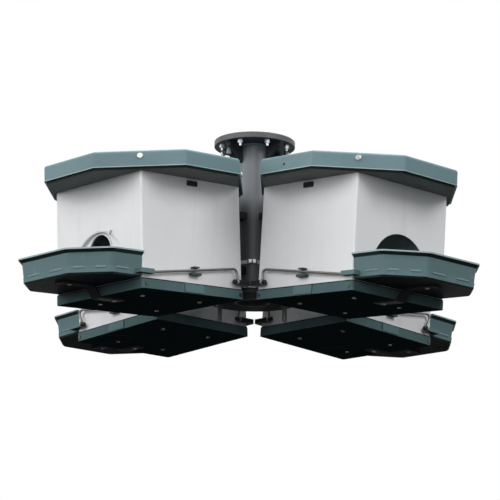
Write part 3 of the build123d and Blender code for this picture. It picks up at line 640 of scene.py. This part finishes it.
class Bench:
    """Operators that shape one piece, as by hand."""

    BEVEL_ANGLE = math.radians(35.0)

    @staticmethod
    def clear() -> None:
        """Leave nothing selected."""
        if bpy.context.object and bpy.context.object.mode != "OBJECT":
            bpy.ops.object.mode_set(mode="OBJECT")
        bpy.ops.object.select_all(action="DESELECT")

    @staticmethod
    def hold(name: str) -> Thing:
        """Name the primitive that was just added and hand it back."""
        piece = bpy.context.object
        piece.name = name
        piece.data.name = name
        return piece

    @staticmethod
    def block(name: str, size: tuple[float, float, float]) -> Thing:
        """Add a box round the origin.

        Args:
            name: Its name.
            size: Its length along X, Y and Z.

        Returns:
            The box.
        """
        Bench.clear()
        bpy.ops.mesh.primitive_cube_add(size=1.0)
        piece = Bench.hold(name)
        piece.scale = size
        bpy.ops.object.transform_apply(location=False, rotation=False, scale=True)
        return piece

    @staticmethod
    def ring(
        name: str, radius: float, wire: float, steps: tuple[int, int], height: float = 0.0
    ) -> Thing:
        """Add a ring of round wire that lies flat round the Z axis.

        Args:
            name: Its name.
            radius: Radius of the ring.
            wire: Radius of the wire.
            steps: Facets round the ring and round the wire.
            height: Where its middle lies.

        Returns:
            The ring.
        """
        Bench.clear()
        bpy.ops.mesh.primitive_torus_add(
            major_radius=radius,
            minor_radius=wire,
            major_segments=steps[0],
            minor_segments=steps[1],
            location=(0.0, 0.0, height),
        )
        return Bench.hold(name)

    @staticmethod
    def pick_faces(piece: Thing, test: Callable[[Vector, Vector], bool]) -> None:
        """Enter edit mode with some faces selected.

        Args:
            piece: The object.
            test: Given a face's centre and normal, True to select it.
        """
        bpy.ops.object.mode_set(mode="EDIT")
        bpy.ops.mesh.select_mode(type="FACE")
        bpy.ops.mesh.select_all(action="DESELECT")
        bpy.ops.object.mode_set(mode="OBJECT")
        for polygon in piece.data.polygons:
            polygon.select = test(polygon.center, polygon.normal)
        bpy.ops.object.mode_set(mode="EDIT")

    @staticmethod
    def bevel(piece: Thing, width: float, segments: int) -> None:
        """Round the sharp edges with a modifier and apply it.

        Args:
            piece: The object.
            width: Bevel width.
            segments: Steps of the rounding.
        """
        bpy.context.view_layer.objects.active = piece
        modifier = piece.modifiers.new("edge", "BEVEL")
        modifier.width = width
        modifier.segments = segments
        modifier.limit_method = "ANGLE"
        modifier.angle_limit = Bench.BEVEL_ANGLE
        bpy.ops.object.modifier_apply(modifier=modifier.name)

    @staticmethod
    def thicken(piece: Thing, thickness: float, offset: float) -> None:
        """Turn a shell into sheet with a modifier and apply it.

        Args:
            piece: The shell.
            thickness: Thickness of the sheet.
            offset: 1 to grow outwards, -1 to grow inwards.
        """
        modifier = piece.modifiers.new("thickness", "SOLIDIFY")
        modifier.thickness = thickness
        modifier.offset = offset
        bpy.ops.object.modifier_apply(modifier=modifier.name)

    @staticmethod
    def finish(piece: Thing, place: Matrix, smooth: float = 40.0) -> Thing:
        """Move a piece into the row frame, apply its place and smooth its shading.

        Args:
            piece: The object.
            place: Matrix to the row frame.
            smooth: Angle under which faces shade smoothly, in degrees.

        Returns:
            The same piece.
        """
        Bench.clear()
        piece.matrix_world = place @ piece.matrix_world
        piece.select_set(True)
        bpy.context.view_layer.objects.active = piece
        bpy.ops.object.transform_apply(location=True, rotation=True, scale=True)
        bpy.ops.object.shade_smooth_by_angle(angle=math.radians(smooth))
        Bench.clear()
        return piece

    @staticmethod
    def copies(pattern: Thing, name: str, places: Iterable[Matrix]) -> Thing:
        """Copy a pattern to several places and join the copies.

        Args:
            pattern: The object to copy; it is removed.
            name: Name of the joined piece.
            places: Where the copies stand.

        Returns:
            The joined piece.
        """
        made = []
        for place in places:
            copy = pattern.copy()
            copy.data = pattern.data.copy()
            bpy.context.collection.objects.link(copy)
            copy.matrix_world = place @ pattern.matrix_world
            made.append(copy)
        bpy.data.objects.remove(pattern, do_unlink=True)
        return Bench.join(made, name)

    @staticmethod
    def join(made: Sequence[Thing], name: str) -> Thing:
        """Join objects into one.

        Args:
            made: The objects.
            name: Name of the joined piece.

        Returns:
            The joined piece.
        """
        Bench.clear()
        for thing in made:
            thing.select_set(True)
        bpy.context.view_layer.objects.active = made[0]
        if len(made) > 1:
            bpy.ops.object.join()
        return Bench.hold(name)


@dataclass
class PorchTrim:
    """Raised strokes along the crease of a porch tray.

    Attributes:
        half: Half the tray's width at the strokes.
        depth: Reach of the tray in front of the walls.
        corner: Length cut off each corner, along both walls.
        back: Gap between the walls and the first run.
        height: Height of the strokes.
        counts: Strokes on each run, from one side round to the other.
        crown: Factors on a stroke's upper face.
        slope: How far the upper face lies back, as a share of the depth.
        rounding: Bevel, as a share of the depth.
    """

    half: float = 0.1025
    depth: float = 0.107
    corner: float = 0.0475
    back: float = 0.016
    height: float = 0.0186
    counts: tuple[int, ...] = (1, 2, 2, 2, 1)
    side_length: float = 0.026
    corner_length: float = 0.017
    front_length: float = 0.030
    stroke_height: float = 0.0042
    stroke_depth: float = 0.0026
    crown: tuple[float, float, float] = (0.86, 0.2, 1.0)
    slope: float = 0.3
    rounding: float = 0.14

    def runs(self) -> list[tuple[Vector, Vector, int, float]]:
        """Straight runs of the tray's wall at the strokes' height.

        Returns:
            Start, end, number and length of the strokes of each run, in the house's frame.
        """
        front = HOUSE.front_face + self.depth
        shoulder = front - self.corner
        narrow = self.half - self.corner
        back = HOUSE.front_face + self.back
        plan = [(back, -self.half), (shoulder, -self.half), (front, -narrow)]
        plan += [(x, -y) for x, y in reversed(plan)]
        corners = [Vector((x, y, self.height)) for x, y in plan]
        outer = (self.side_length, self.corner_length)
        lengths = (*outer, self.front_length, *reversed(outer))
        return list(zip(corners[:-1], corners[1:], self.counts, lengths))

    def stroke(self, length: float) -> Thing:
        """One stroke along X, its upper side sloping back into the wall.

        Args:
            length: Its length.

        Returns:
            The stroke.
        """
        piece = Bench.block("stroke", (length, self.stroke_depth, self.stroke_height))
        Bench.pick_faces(piece, lambda centre, normal: normal.z > SQUARE_ON)
        bpy.ops.transform.resize(value=self.crown)
        bpy.ops.transform.translate(value=(0.0, self.stroke_depth * self.slope, 0.0))
        bpy.ops.object.mode_set(mode="OBJECT")
        Bench.bevel(piece, self.stroke_depth * self.rounding, 3)
        return piece

    def build(self, side: Side) -> Thing:
        """Model the strokes of one house's tray.

        Args:
            side: The house.

        Returns:
            The joined strokes.
        """
        made = []
        for start, end, count, length in self.runs():
            along = (end - start).normalized()
            turn = Matrix.Rotation(math.atan2(along.y, along.x), 4, "Z")
            middles = [start.lerp(end, (number + 0.5) / count) for number in range(count)]
            places = [Matrix.Translation(middle) @ turn for middle in middles]
            made.append(Bench.copies(self.stroke(length), "run", places))
        piece = Bench.join(made, f"{side.label}_porch_strokes")
        return Bench.finish(piece, HOUSE.matrix(side))


@dataclass
class EdgeHighlight:
    """Painted highlight: a light strip that follows one band of a folded or moulded piece, where
    its rounded edge catches the light.

    Attributes:
        node: Ending of the CAD node's name.
        name: Ending of the band's name.
        low: Height of the band's foot.
        high: Height of the band's top.
        centre: Point on the house's X axis that the band runs round.
        thickness: How far the band stands out.
        flat: Steepest part of a normal along Z that a side face may have.
        merge: Distance under which two corners of the mesh are one.
    """

    node: str
    name: str
    low: float
    high: float
    centre: float
    thickness: float = 0.0005
    flat: float = 0.5
    merge: float = 0.00001

    def build(self, side: Side) -> Thing:
        """Cut the band out of a copy of the node and thicken it outwards.

        Args:
            side: The house.

        Returns:
            The band.
        """
        Bench.clear()
        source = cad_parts[f"{side.label}_{self.node}"]
        piece = source.copy()
        piece.data = source.data.copy()
        bpy.context.collection.objects.link(piece)
        piece.select_set(True)
        bpy.context.view_layer.objects.active = piece
        piece = Bench.hold(f"{side.label}_{self.name}")
        bpy.ops.object.transform_apply(location=True, rotation=True, scale=True)
        house = HOUSE.matrix(side)
        bpy.ops.object.mode_set(mode="EDIT")
        bpy.ops.mesh.select_mode(type="FACE")
        bpy.ops.mesh.select_all(action="SELECT")
        bpy.ops.mesh.remove_doubles(threshold=self.merge)
        for height, above in ((self.low, False), (self.high, True)):
            bpy.ops.mesh.select_all(action="SELECT")
            bpy.ops.mesh.bisect(
                plane_co=house @ Vector((self.centre, 0.0, height)),
                plane_no=house.to_3x3() @ Vector((0.0, 0.0, 1.0)),
                clear_outer=above,
                clear_inner=not above,
            )
        bpy.ops.object.mode_set(mode="OBJECT")
        back = house.inverted()
        turn = back.to_3x3()
        on_porch = self.centre > HOUSE.front_face

        def is_waste(centre: Vector, normal: Vector) -> bool:
            """True for a face that isn't on the band's outer side."""
            place, facing = back @ centre, turn @ normal
            outwards = facing.x * (place.x - self.centre) + facing.y * place.y
            against_wall = on_porch and facing.x < -SQUARE_ON
            return abs(facing.z) > self.flat or outwards <= 0.0 or against_wall

        Bench.pick_faces(piece, is_waste)
        bpy.ops.mesh.delete(type="FACE")
        bpy.ops.object.mode_set(mode="OBJECT")
        Bench.thicken(piece, self.thickness, 1.0)
        return Bench.finish(piece, Matrix.Identity(4))


@dataclass
class GapShadowTrim:
    """Dark strip round the wall box, just above the rim of the floor pan: painted shadow of the
    gap between the walls and the pan.
    """

    gap: float = 0.0012
    foot: float = 0.0043
    height: float = 0.0016
    corner: float = 0.0042
    thickness: float = 0.0010

    def build(self, side: Side) -> Thing:
        """Model the painted gap shadow of one house.

        Args:
            side: The house.

        Returns:
            The seal.
        """
        width = HOUSE.side + 2 * self.gap
        piece = Bench.block(f"{side.label}_wall_seal", (width, width, self.height))
        Bench.pick_faces(piece, lambda centre, normal: abs(normal.z) > SQUARE_ON)
        bpy.ops.mesh.delete(type="FACE")
        bpy.ops.object.mode_set(mode="OBJECT")
        Bench.bevel(piece, self.corner, 5)
        Bench.thicken(piece, self.thickness, -1.0)
        place = Matrix.Translation((HOUSE.middle, 0.0, self.foot + self.height / 2))
        return Bench.finish(piece, HOUSE.matrix(side) @ place)


@dataclass
class EntranceTrim:
    """Rolled edge round the entrance hole of a cap.

    Attributes:
        radius: Radius of the hole.
        height: Height of its middle.
        recess: Depth of the cap's face behind the front wall.
        wire: Radius of the rolled edge.
        outer: Least part of a normal that counts as the edge's outer side.
        lift: How far that side stands out, as a share of the edge's radius.
    """

    radius: float = 0.027
    height: float = 0.0625
    recess: float = 0.0060
    wire: float = 0.0012
    outer: float = 0.3
    lift: float = 0.6

    def build(self, side: Side) -> Thing:
        """Model the rolled edge of one cap.

        Args:
            side: The house.

        Returns:
            The edge.
        """
        piece = Bench.ring(f"{side.label}_entrance_edge", self.radius, self.wire, (72, 12))
        Bench.pick_faces(piece, lambda centre, normal: normal.z > self.outer)
        bpy.ops.transform.translate(value=(0.0, 0.0, self.wire * self.lift))
        bpy.ops.object.mode_set(mode="OBJECT")
        centre = Vector((HOUSE.front_face - self.recess + self.wire, 0.0, self.height))
        turn = Matrix.Rotation(math.radians(90), 4, "Y")
        return Bench.finish(piece, HOUSE.matrix(side) @ Matrix.Translation(centre) @ turn)


@dataclass
class RoofTrim:
    """Washers under the bolts in the roof's cut corners.

    Attributes:
        half: Half the roof's width.
        corner: Length cut off each outer corner, along both sides.
        gap: Half the gap between the cut corners of two neighbouring roofs.
        foot: Height of the roof's lower edge.
        bolt_height: Height of the bolts above that edge.
        radius: Radius of a washer.
        thickness: Thickness of a washer.
        brim: Width of its brim, as a share of the radius.
        dish: Height of its middle, as a share of the thickness.
        rounding: Bevel, as a share of the thickness.
    """

    half: float = 0.163
    corner: float = 0.1015
    gap: float = 0.0085
    foot: float = 0.1777
    bolt_height: float = 0.0168
    radius: float = 0.0046
    thickness: float = 0.0007
    brim: float = 0.18
    dish: float = 0.5
    rounding: float = 0.25

    def washer(self) -> Thing:
        """One dished washer round X."""
        Bench.clear()
        bpy.ops.mesh.primitive_cylinder_add(
            vertices=32,
            radius=self.radius,
            depth=self.thickness,
            rotation=(0.0, math.radians(90), 0.0),
        )
        piece = Bench.hold("washer")
        bpy.ops.object.transform_apply(location=False, rotation=True, scale=False)
        Bench.pick_faces(piece, lambda centre, normal: normal.x > SQUARE_ON)
        bpy.ops.mesh.inset(thickness=self.radius * self.brim)
        bpy.ops.transform.translate(value=(self.thickness * self.dish, 0.0, 0.0))
        bpy.ops.object.mode_set(mode="OBJECT")
        Bench.bevel(piece, self.thickness * self.rounding, 2)
        return piece

    def build(self, side: Side) -> Thing:
        """Model the washers of one roof.

        Args:
            side: The house.

        Returns:
            The joined washers.
        """
        outer = (2 * self.half - self.corner) / math.sqrt(2) + self.thickness / 2
        inner = HOUSE.middle / math.sqrt(2) - self.gap + self.thickness / 2
        middle = Matrix.Translation((HOUSE.middle, 0.0, self.foot + self.bolt_height))
        places = []
        for angle, reach in ((45, outer), (135, inner), (225, inner), (315, outer)):
            turn = Matrix.Rotation(math.radians(angle), 4, "Z")
            places.append(middle @ turn @ Matrix.Translation((reach, 0.0, 0.0)))
        piece = Bench.copies(self.washer(), f"{side.label}_roof_washers", places)
        return Bench.finish(piece, HOUSE.matrix(side))


@dataclass
class PanTrim:
    """Pressed ring in the underside of a floor pan."""

    ring_radius: float = 0.031
    ring_width: float = 0.0016
    flattening: float = 0.4
    bottom: float = -0.0108
    centre: tuple[float, float] = (0.278, 0.068)

    def build(self, side: Side) -> Thing:
        """Model the ring of one pan.

        Args:
            side: The house.

        Returns:
            The ring.
        """
        piece = Bench.ring(f"{side.label}_pan_ring", self.ring_radius, self.ring_width, (64, 10))
        Bench.pick_faces(piece, lambda centre, normal: True)
        bpy.ops.transform.resize(value=(1.0, 1.0, self.flattening))
        bpy.ops.object.mode_set(mode="OBJECT")
        place = Matrix.Translation((*self.centre, self.bottom))
        return Bench.finish(piece, HOUSE.matrix(side) @ place)


@dataclass
class StrapTrim:
    """Paler faces on the straps at both sides of a floor pan."""

    length: float = 0.040
    face: float = 0.1075
    thickness: float = 0.0003
    bottom: float = -0.0090
    top: float = 0.0043
    rounding: float = 0.3

    def build(self, side: Side) -> Thing:
        """Model the faces of one pan's straps.

        Args:
            side: The house.

        Returns:
            The joined faces.
        """
        pattern = Bench.block(
            "strap_face", (self.length, self.thickness, self.top - self.bottom)
        )
        Bench.bevel(pattern, self.thickness * self.rounding, 1)
        reach = self.face + self.thickness / 2
        middle = (self.top + self.bottom) / 2
        places = [Matrix.Translation((HOUSE.middle, turn * reach, middle)) for turn in (-1, 1)]
        piece = Bench.copies(pattern, f"{side.label}_strap_faces", places)
        return Bench.finish(piece, HOUSE.matrix(side))


@dataclass
class HubTrim:
    """Weld beads where the tube meets its plates, and light rings on the collar's edges as painted
    highlights.

    Attributes:
        tube_radius: Outer radius of the tube.
        collar_radius: Outer radius of the collar.
        collar_height: Height of the collar.
        wear: Radius of the light rings on the collar's edges, painted highlights.
        wear_flattening: Their height as a share of their width.
        bead: Radius of the weld beads.
        offset: How far a bead's middle stands off tube and plate, as a share of its radius.
        ripples: Ripples of a bead per radian.
        swell: Factor on the radius at every other ripple.
        smooth: Angle under which a bead's faces shade smoothly, in degrees.
        joints: Name of each bead, with 1 where it lies on its plate and -1 where it hangs.
    """

    tube_radius: float = 0.030
    collar_radius: float = 0.036
    collar_height: float = 0.0136
    wear: float = 0.0006
    wear_flattening: float = 0.8
    bead: float = 0.0022
    offset: float = 0.3
    ripples: int = 20
    swell: float = 1.012
    smooth: float = 60.0
    joints: dict[str, float] = field(default_factory=lambda: {"top": -1.0, "collar": 1.0})

    def is_ripple(self, centre: Vector, normal: Vector) -> bool:
        """True for a face on every other ripple of a bead."""
        return int(math.atan2(centre.y, centre.x) * self.ripples) % 2 == 0

    def build(self) -> list[Thing]:
        """Model the beads.

        Returns:
            One bead under the top plate and one on the collar.
        """
        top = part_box("top_flange")[0].z
        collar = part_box("lower_flange")[1].z
        inset = self.bead * self.offset
        made = []
        for (name, side), height in zip(self.joints.items(), (top, collar)):
            piece = Bench.ring(
                f"weld_{name}",
                self.tube_radius + inset,
                self.bead,
                (160, 10),
                height=height + side * inset,
            )
            Bench.pick_faces(piece, self.is_ripple)
            bpy.ops.transform.resize(
                value=(self.swell, self.swell, 1.0), center_override=(0.0, 0.0, height)
            )
            bpy.ops.object.mode_set(mode="OBJECT")
            made.append(Bench.finish(piece, Matrix.Identity(4), self.smooth))
        return made

    def highlight_rings(self) -> Thing:
        """Model light rings at the collar's top and foot, painted highlights on its edges.

        Returns:
            The joined edges.
        """
        pattern = Bench.ring("collar_edge", self.collar_radius, self.wear, (96, 8))
        Bench.pick_faces(pattern, lambda centre, normal: True)
        bpy.ops.transform.resize(value=(1.0, 1.0, self.wear_flattening))
        bpy.ops.object.mode_set(mode="OBJECT")
        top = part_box("lower_flange")[1].z
        heights = (top, top - self.collar_height)
        places = [Matrix.Translation((0.0, 0.0, height)) for height in heights]
        return Bench.finish(Bench.copies(pattern, "collar_highlights", places), Matrix.Identity(4))


@dataclass(frozen=True)
class Lamp:
    """One square soft lamp, placed as seen in the photograph.

    Attributes:
        name: Its name.
        right: Metres to the right of the hub's axis.
        away: Metres behind the hub's axis.
        up: Metres above the socket's mouth.
        size: Side of the square in metres.
        power: Watts.
    """

    name: str
    right: float
    away: float
    up: float
    size: float
    power: float


LAMPS = (
    Lamp("key", -2.6, -3.4, 2.6, size=2.4, power=68.0),
    Lamp("left", -3.6, -1.2, 1.2, size=2.4, power=60.0),
    Lamp("right", 3.2, -2.8, 2.6, size=2.4, power=110.0),
    Lamp("front", -0.6, -3.9, 0.5, size=2.0, power=42.0),
    Lamp("top", 0.3, 0.2, 3.6, size=3.0, power=130.0),
)


@dataclass
class Studio:
    """Pale floor, soft lamps and the camera at the photograph's angle.

    Attributes:
        turn: Turn from the row frame to the photograph's directions.
        drop: How far the origin of the fit lies below the row frame's origin.
        position: The camera's place as seen in the photograph.
        azimuth: Direction in which the camera looks, 90 degrees for straight away.
        pitch: How far it looks up.
        roll: How far it leans, in radians.
        lens: Focal length in millimetres.
        sensor: Width of the picture in the same measure.
        clip: Nearest and farthest distance that it sees.
        floor_size: Side of the floor.
        floor_height: Height of the floor.
        floor_colour: The floor's colour as it lights the object.
        floor_glow: How light the floor looks to the camera by itself.
        floor_roughness: Roughness of the floor.
        sky: Colour of the even light all round.
    """

    turn: float = math.radians(45.79)
    drop: float = 0.009
    position: Vector = field(default_factory=lambda: Vector((0.0389, -3.3393, -0.6674)))
    azimuth: float = math.radians(90.755)
    pitch: float = math.radians(12.95)
    roll: float = -0.0166
    lens: float = 145.9
    sensor: float = 36.0
    clip: tuple[float, float] = (0.05, 60.0)
    floor_size: float = 60.0
    floor_height: float = -4.0
    floor_colour: Colour = (0.10, 0.10, 0.10)
    floor_glow: float = 0.55
    floor_roughness: float = 0.9
    sky: Colour = (0.16, 0.17, 0.18)

    def from_view(self, right: float, away: float, up: float) -> Vector:
        """A point given as seen in the photograph.

        Args:
            right: Metres to the right of the hub's axis.
            away: Metres behind the hub's axis.
            up: Metres above the socket's mouth.

        Returns:
            The point in the row frame.
        """
        return Matrix.Rotation(self.turn, 4, "Z") @ Vector((right, away, up))

    def camera(self) -> None:
        """Create the camera."""
        data = bpy.data.cameras.new("camera")
        data.lens = self.lens
        data.sensor_width = self.sensor
        data.clip_start, data.clip_end = self.clip
        thing = bpy.data.objects.new("camera", data)
        bpy.context.collection.objects.link(thing)
        heading = self.azimuth + self.turn
        level = Vector((math.cos(heading), math.sin(heading), 0.0))
        forward = level * math.cos(self.pitch) + Vector((0.0, 0.0, math.sin(self.pitch)))
        right = level.cross(Vector((0.0, 0.0, 1.0))).normalized()
        up = right.cross(forward)
        rolled_right = right * math.cos(self.roll) - up * math.sin(self.roll)
        rolled_up = right * math.sin(self.roll) + up * math.cos(self.roll)
        axes = Matrix((rolled_right, rolled_up, -forward)).transposed().to_4x4()
        place = self.from_view(*self.position) - Vector((0.0, 0.0, self.drop))
        thing.matrix_world = Matrix.Translation(place) @ axes
        bpy.context.scene.camera = thing

    def light(self, lamp: Lamp) -> None:
        """Create one lamp that faces the hub.

        Args:
            lamp: Its place, size and power.
        """
        data = bpy.data.lights.new(lamp.name, "AREA")
        data.size = lamp.size
        data.energy = lamp.power
        thing = bpy.data.objects.new(lamp.name, data)
        bpy.context.collection.objects.link(thing)
        place = self.from_view(lamp.right, lamp.away, lamp.up)
        thing.location = place
        thing.rotation_mode = "QUATERNION"
        thing.rotation_quaternion = (-place).to_track_quat("-Z", "Y")

    @staticmethod
    def seen_white(
        tree: bpy.types.NodeTree, shown: Colour, *rays_too: str, seen: float = 1.0
    ) -> bpy.types.NodeSocket:
        """Colour that is white or grey to the camera and to some other rays.

        Args:
            tree: Node tree of the world or a material.
            shown: The colour that falls as light on the object.
            rays_too: Light Path outputs that see it besides the camera's rays.
            seen: How light it looks to them, 1 for white.

        Returns:
            A colour socket.
        """
        rays = tree.nodes.new("ShaderNodeLightPath")
        total = rays.outputs["Is Camera Ray"]
        for name in rays_too:
            node = tree.nodes.new("ShaderNodeMath")
            node.operation = "MAXIMUM"
            tree.links.new(total, node.inputs[0])
            tree.links.new(rays.outputs[name], node.inputs[1])
            total = node.outputs[0]
        mix = tree.nodes.new("ShaderNodeMix")
        mix.data_type = "RGBA"
        tree.links.new(total, mix.inputs[MIX_FACTOR])
        mix.inputs[MIX_FIRST].default_value = (*shown, 1.0)
        mix.inputs[MIX_SECOND].default_value = (seen, seen, seen, 1.0)
        return mix.outputs[MIX_RESULT]

    def world(self) -> None:
        """Create the even light all round."""
        world = bpy.data.worlds.new("studio")
        bpy.context.scene.world = world
        world.use_nodes = True
        tree = world.node_tree
        background = tree.nodes["Background"]
        white = self.seen_white(tree, self.sky, "Is Glossy Ray", "Is Transmission Ray")
        tree.links.new(white, background.inputs["Color"])
        background.inputs["Strength"].default_value = 1.0

    def floor(self) -> None:
        """Create the pale floor, far below the camera."""
        Bench.clear()
        bpy.ops.mesh.primitive_plane_add(
            size=self.floor_size, location=(0.0, 0.0, self.floor_height)
        )
        floor = Bench.hold("floor")
        material = bpy.data.materials.new("pale_floor")
        material.use_nodes = True
        tree = material.node_tree
        shader = tree.nodes["Principled BSDF"]
        white = self.seen_white(tree, self.floor_colour, "Is Transmission Ray")
        tree.links.new(white, shader.inputs["Base Color"])
        glow = self.seen_white(tree, (0.0, 0.0, 0.0), "Is Transmission Ray", seen=self.floor_glow)
        tree.links.new(glow, shader.inputs["Emission Color"])
        shader.inputs["Emission Strength"].default_value = 1.0
        shader.inputs["Roughness"].default_value = self.floor_roughness
        floor.data.materials.append(material)
        Bench.clear()

    def build(self) -> None:
        """Create the camera, world, floor and lamps."""
        self.camera()
        self.world()
        self.floor()
        for lamp in LAMPS:
            self.light(lamp)
        bpy.context.scene.view_settings.view_transform = "Standard"


# Strips in the light edge finish along the porch lip and the roof rim's foot: painted highlights.
PORCH_EDGE = EdgeHighlight("porch_tray", "porch_edge", low=0.0447, high=0.0475, centre=0.380)
ROOF_EDGE = EdgeHighlight("roof", "roof_edge", low=0.1760, high=0.1790, centre=HOUSE.middle)


def build_trim(wardrobe: Wardrobe) -> None:
    """Model and dress the small trim, painted shadow and highlight pieces among it, and let it
    ride on its bodies.

    Args:
        wardrobe: Where the finishes come from.
    """
    made: list[tuple[Thing, str, Finish, str]] = []
    for side in Side:
        # The strokes wear a lighter copy of the tray's colour as painted highlight.
        made.append((PorchTrim().build(side), "frame", Finish.STROKE, "porch_tray"))
        # Painted highlights along the porch lip and the roof rim.
        made.append((PORCH_EDGE.build(side), "frame", Finish.EDGE, "porch_tray"))
        made.append((ROOF_EDGE.build(side), "frame", Finish.EDGE, "roof"))
        # Painted shadow of the gap between the walls and the pan.
        made.append((GapShadowTrim().build(side), "frame", Finish.SEAL, "corner_hooks"))
        made.append((RoofTrim().build(side), "frame", Finish.BOLT, "roof_bolts"))
        made.append((PanTrim().build(side), "frame", Finish.PAN, "floor_pan"))
        made.append((StrapTrim().build(side), "frame", Finish.STRAP, "floor_pan"))
        if side.has_cap:
            body = f"{side.label}_entrance_cap"
            made.append((EntranceTrim().build(side), body, Finish.CAP, "entrance_cap"))
    for bead in HubTrim().build():
        made.append((bead, "frame", Finish.HUB, "hub_tube"))
    # Painted highlights: light rings on the collar's edges.
    made.append((HubTrim().highlight_rings(), "frame", Finish.BAND, "hub_tube"))
    for piece, body, finish, slot in made:
        wardrobe.dress(piece, finish)
        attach(piece, body)
        LOG.info("made %s on %s", piece.name, body)


def main() -> None:
    """Dress the frame, add the trim and set the studio."""
    logging.basicConfig(level=logging.INFO, format="%(name)s: %(message)s")
    wardrobe = Wardrobe()
    wardrobe.dress_nodes()
    build_trim(wardrobe)
    Studio().build()


if __name__ == "__main__":
    main()
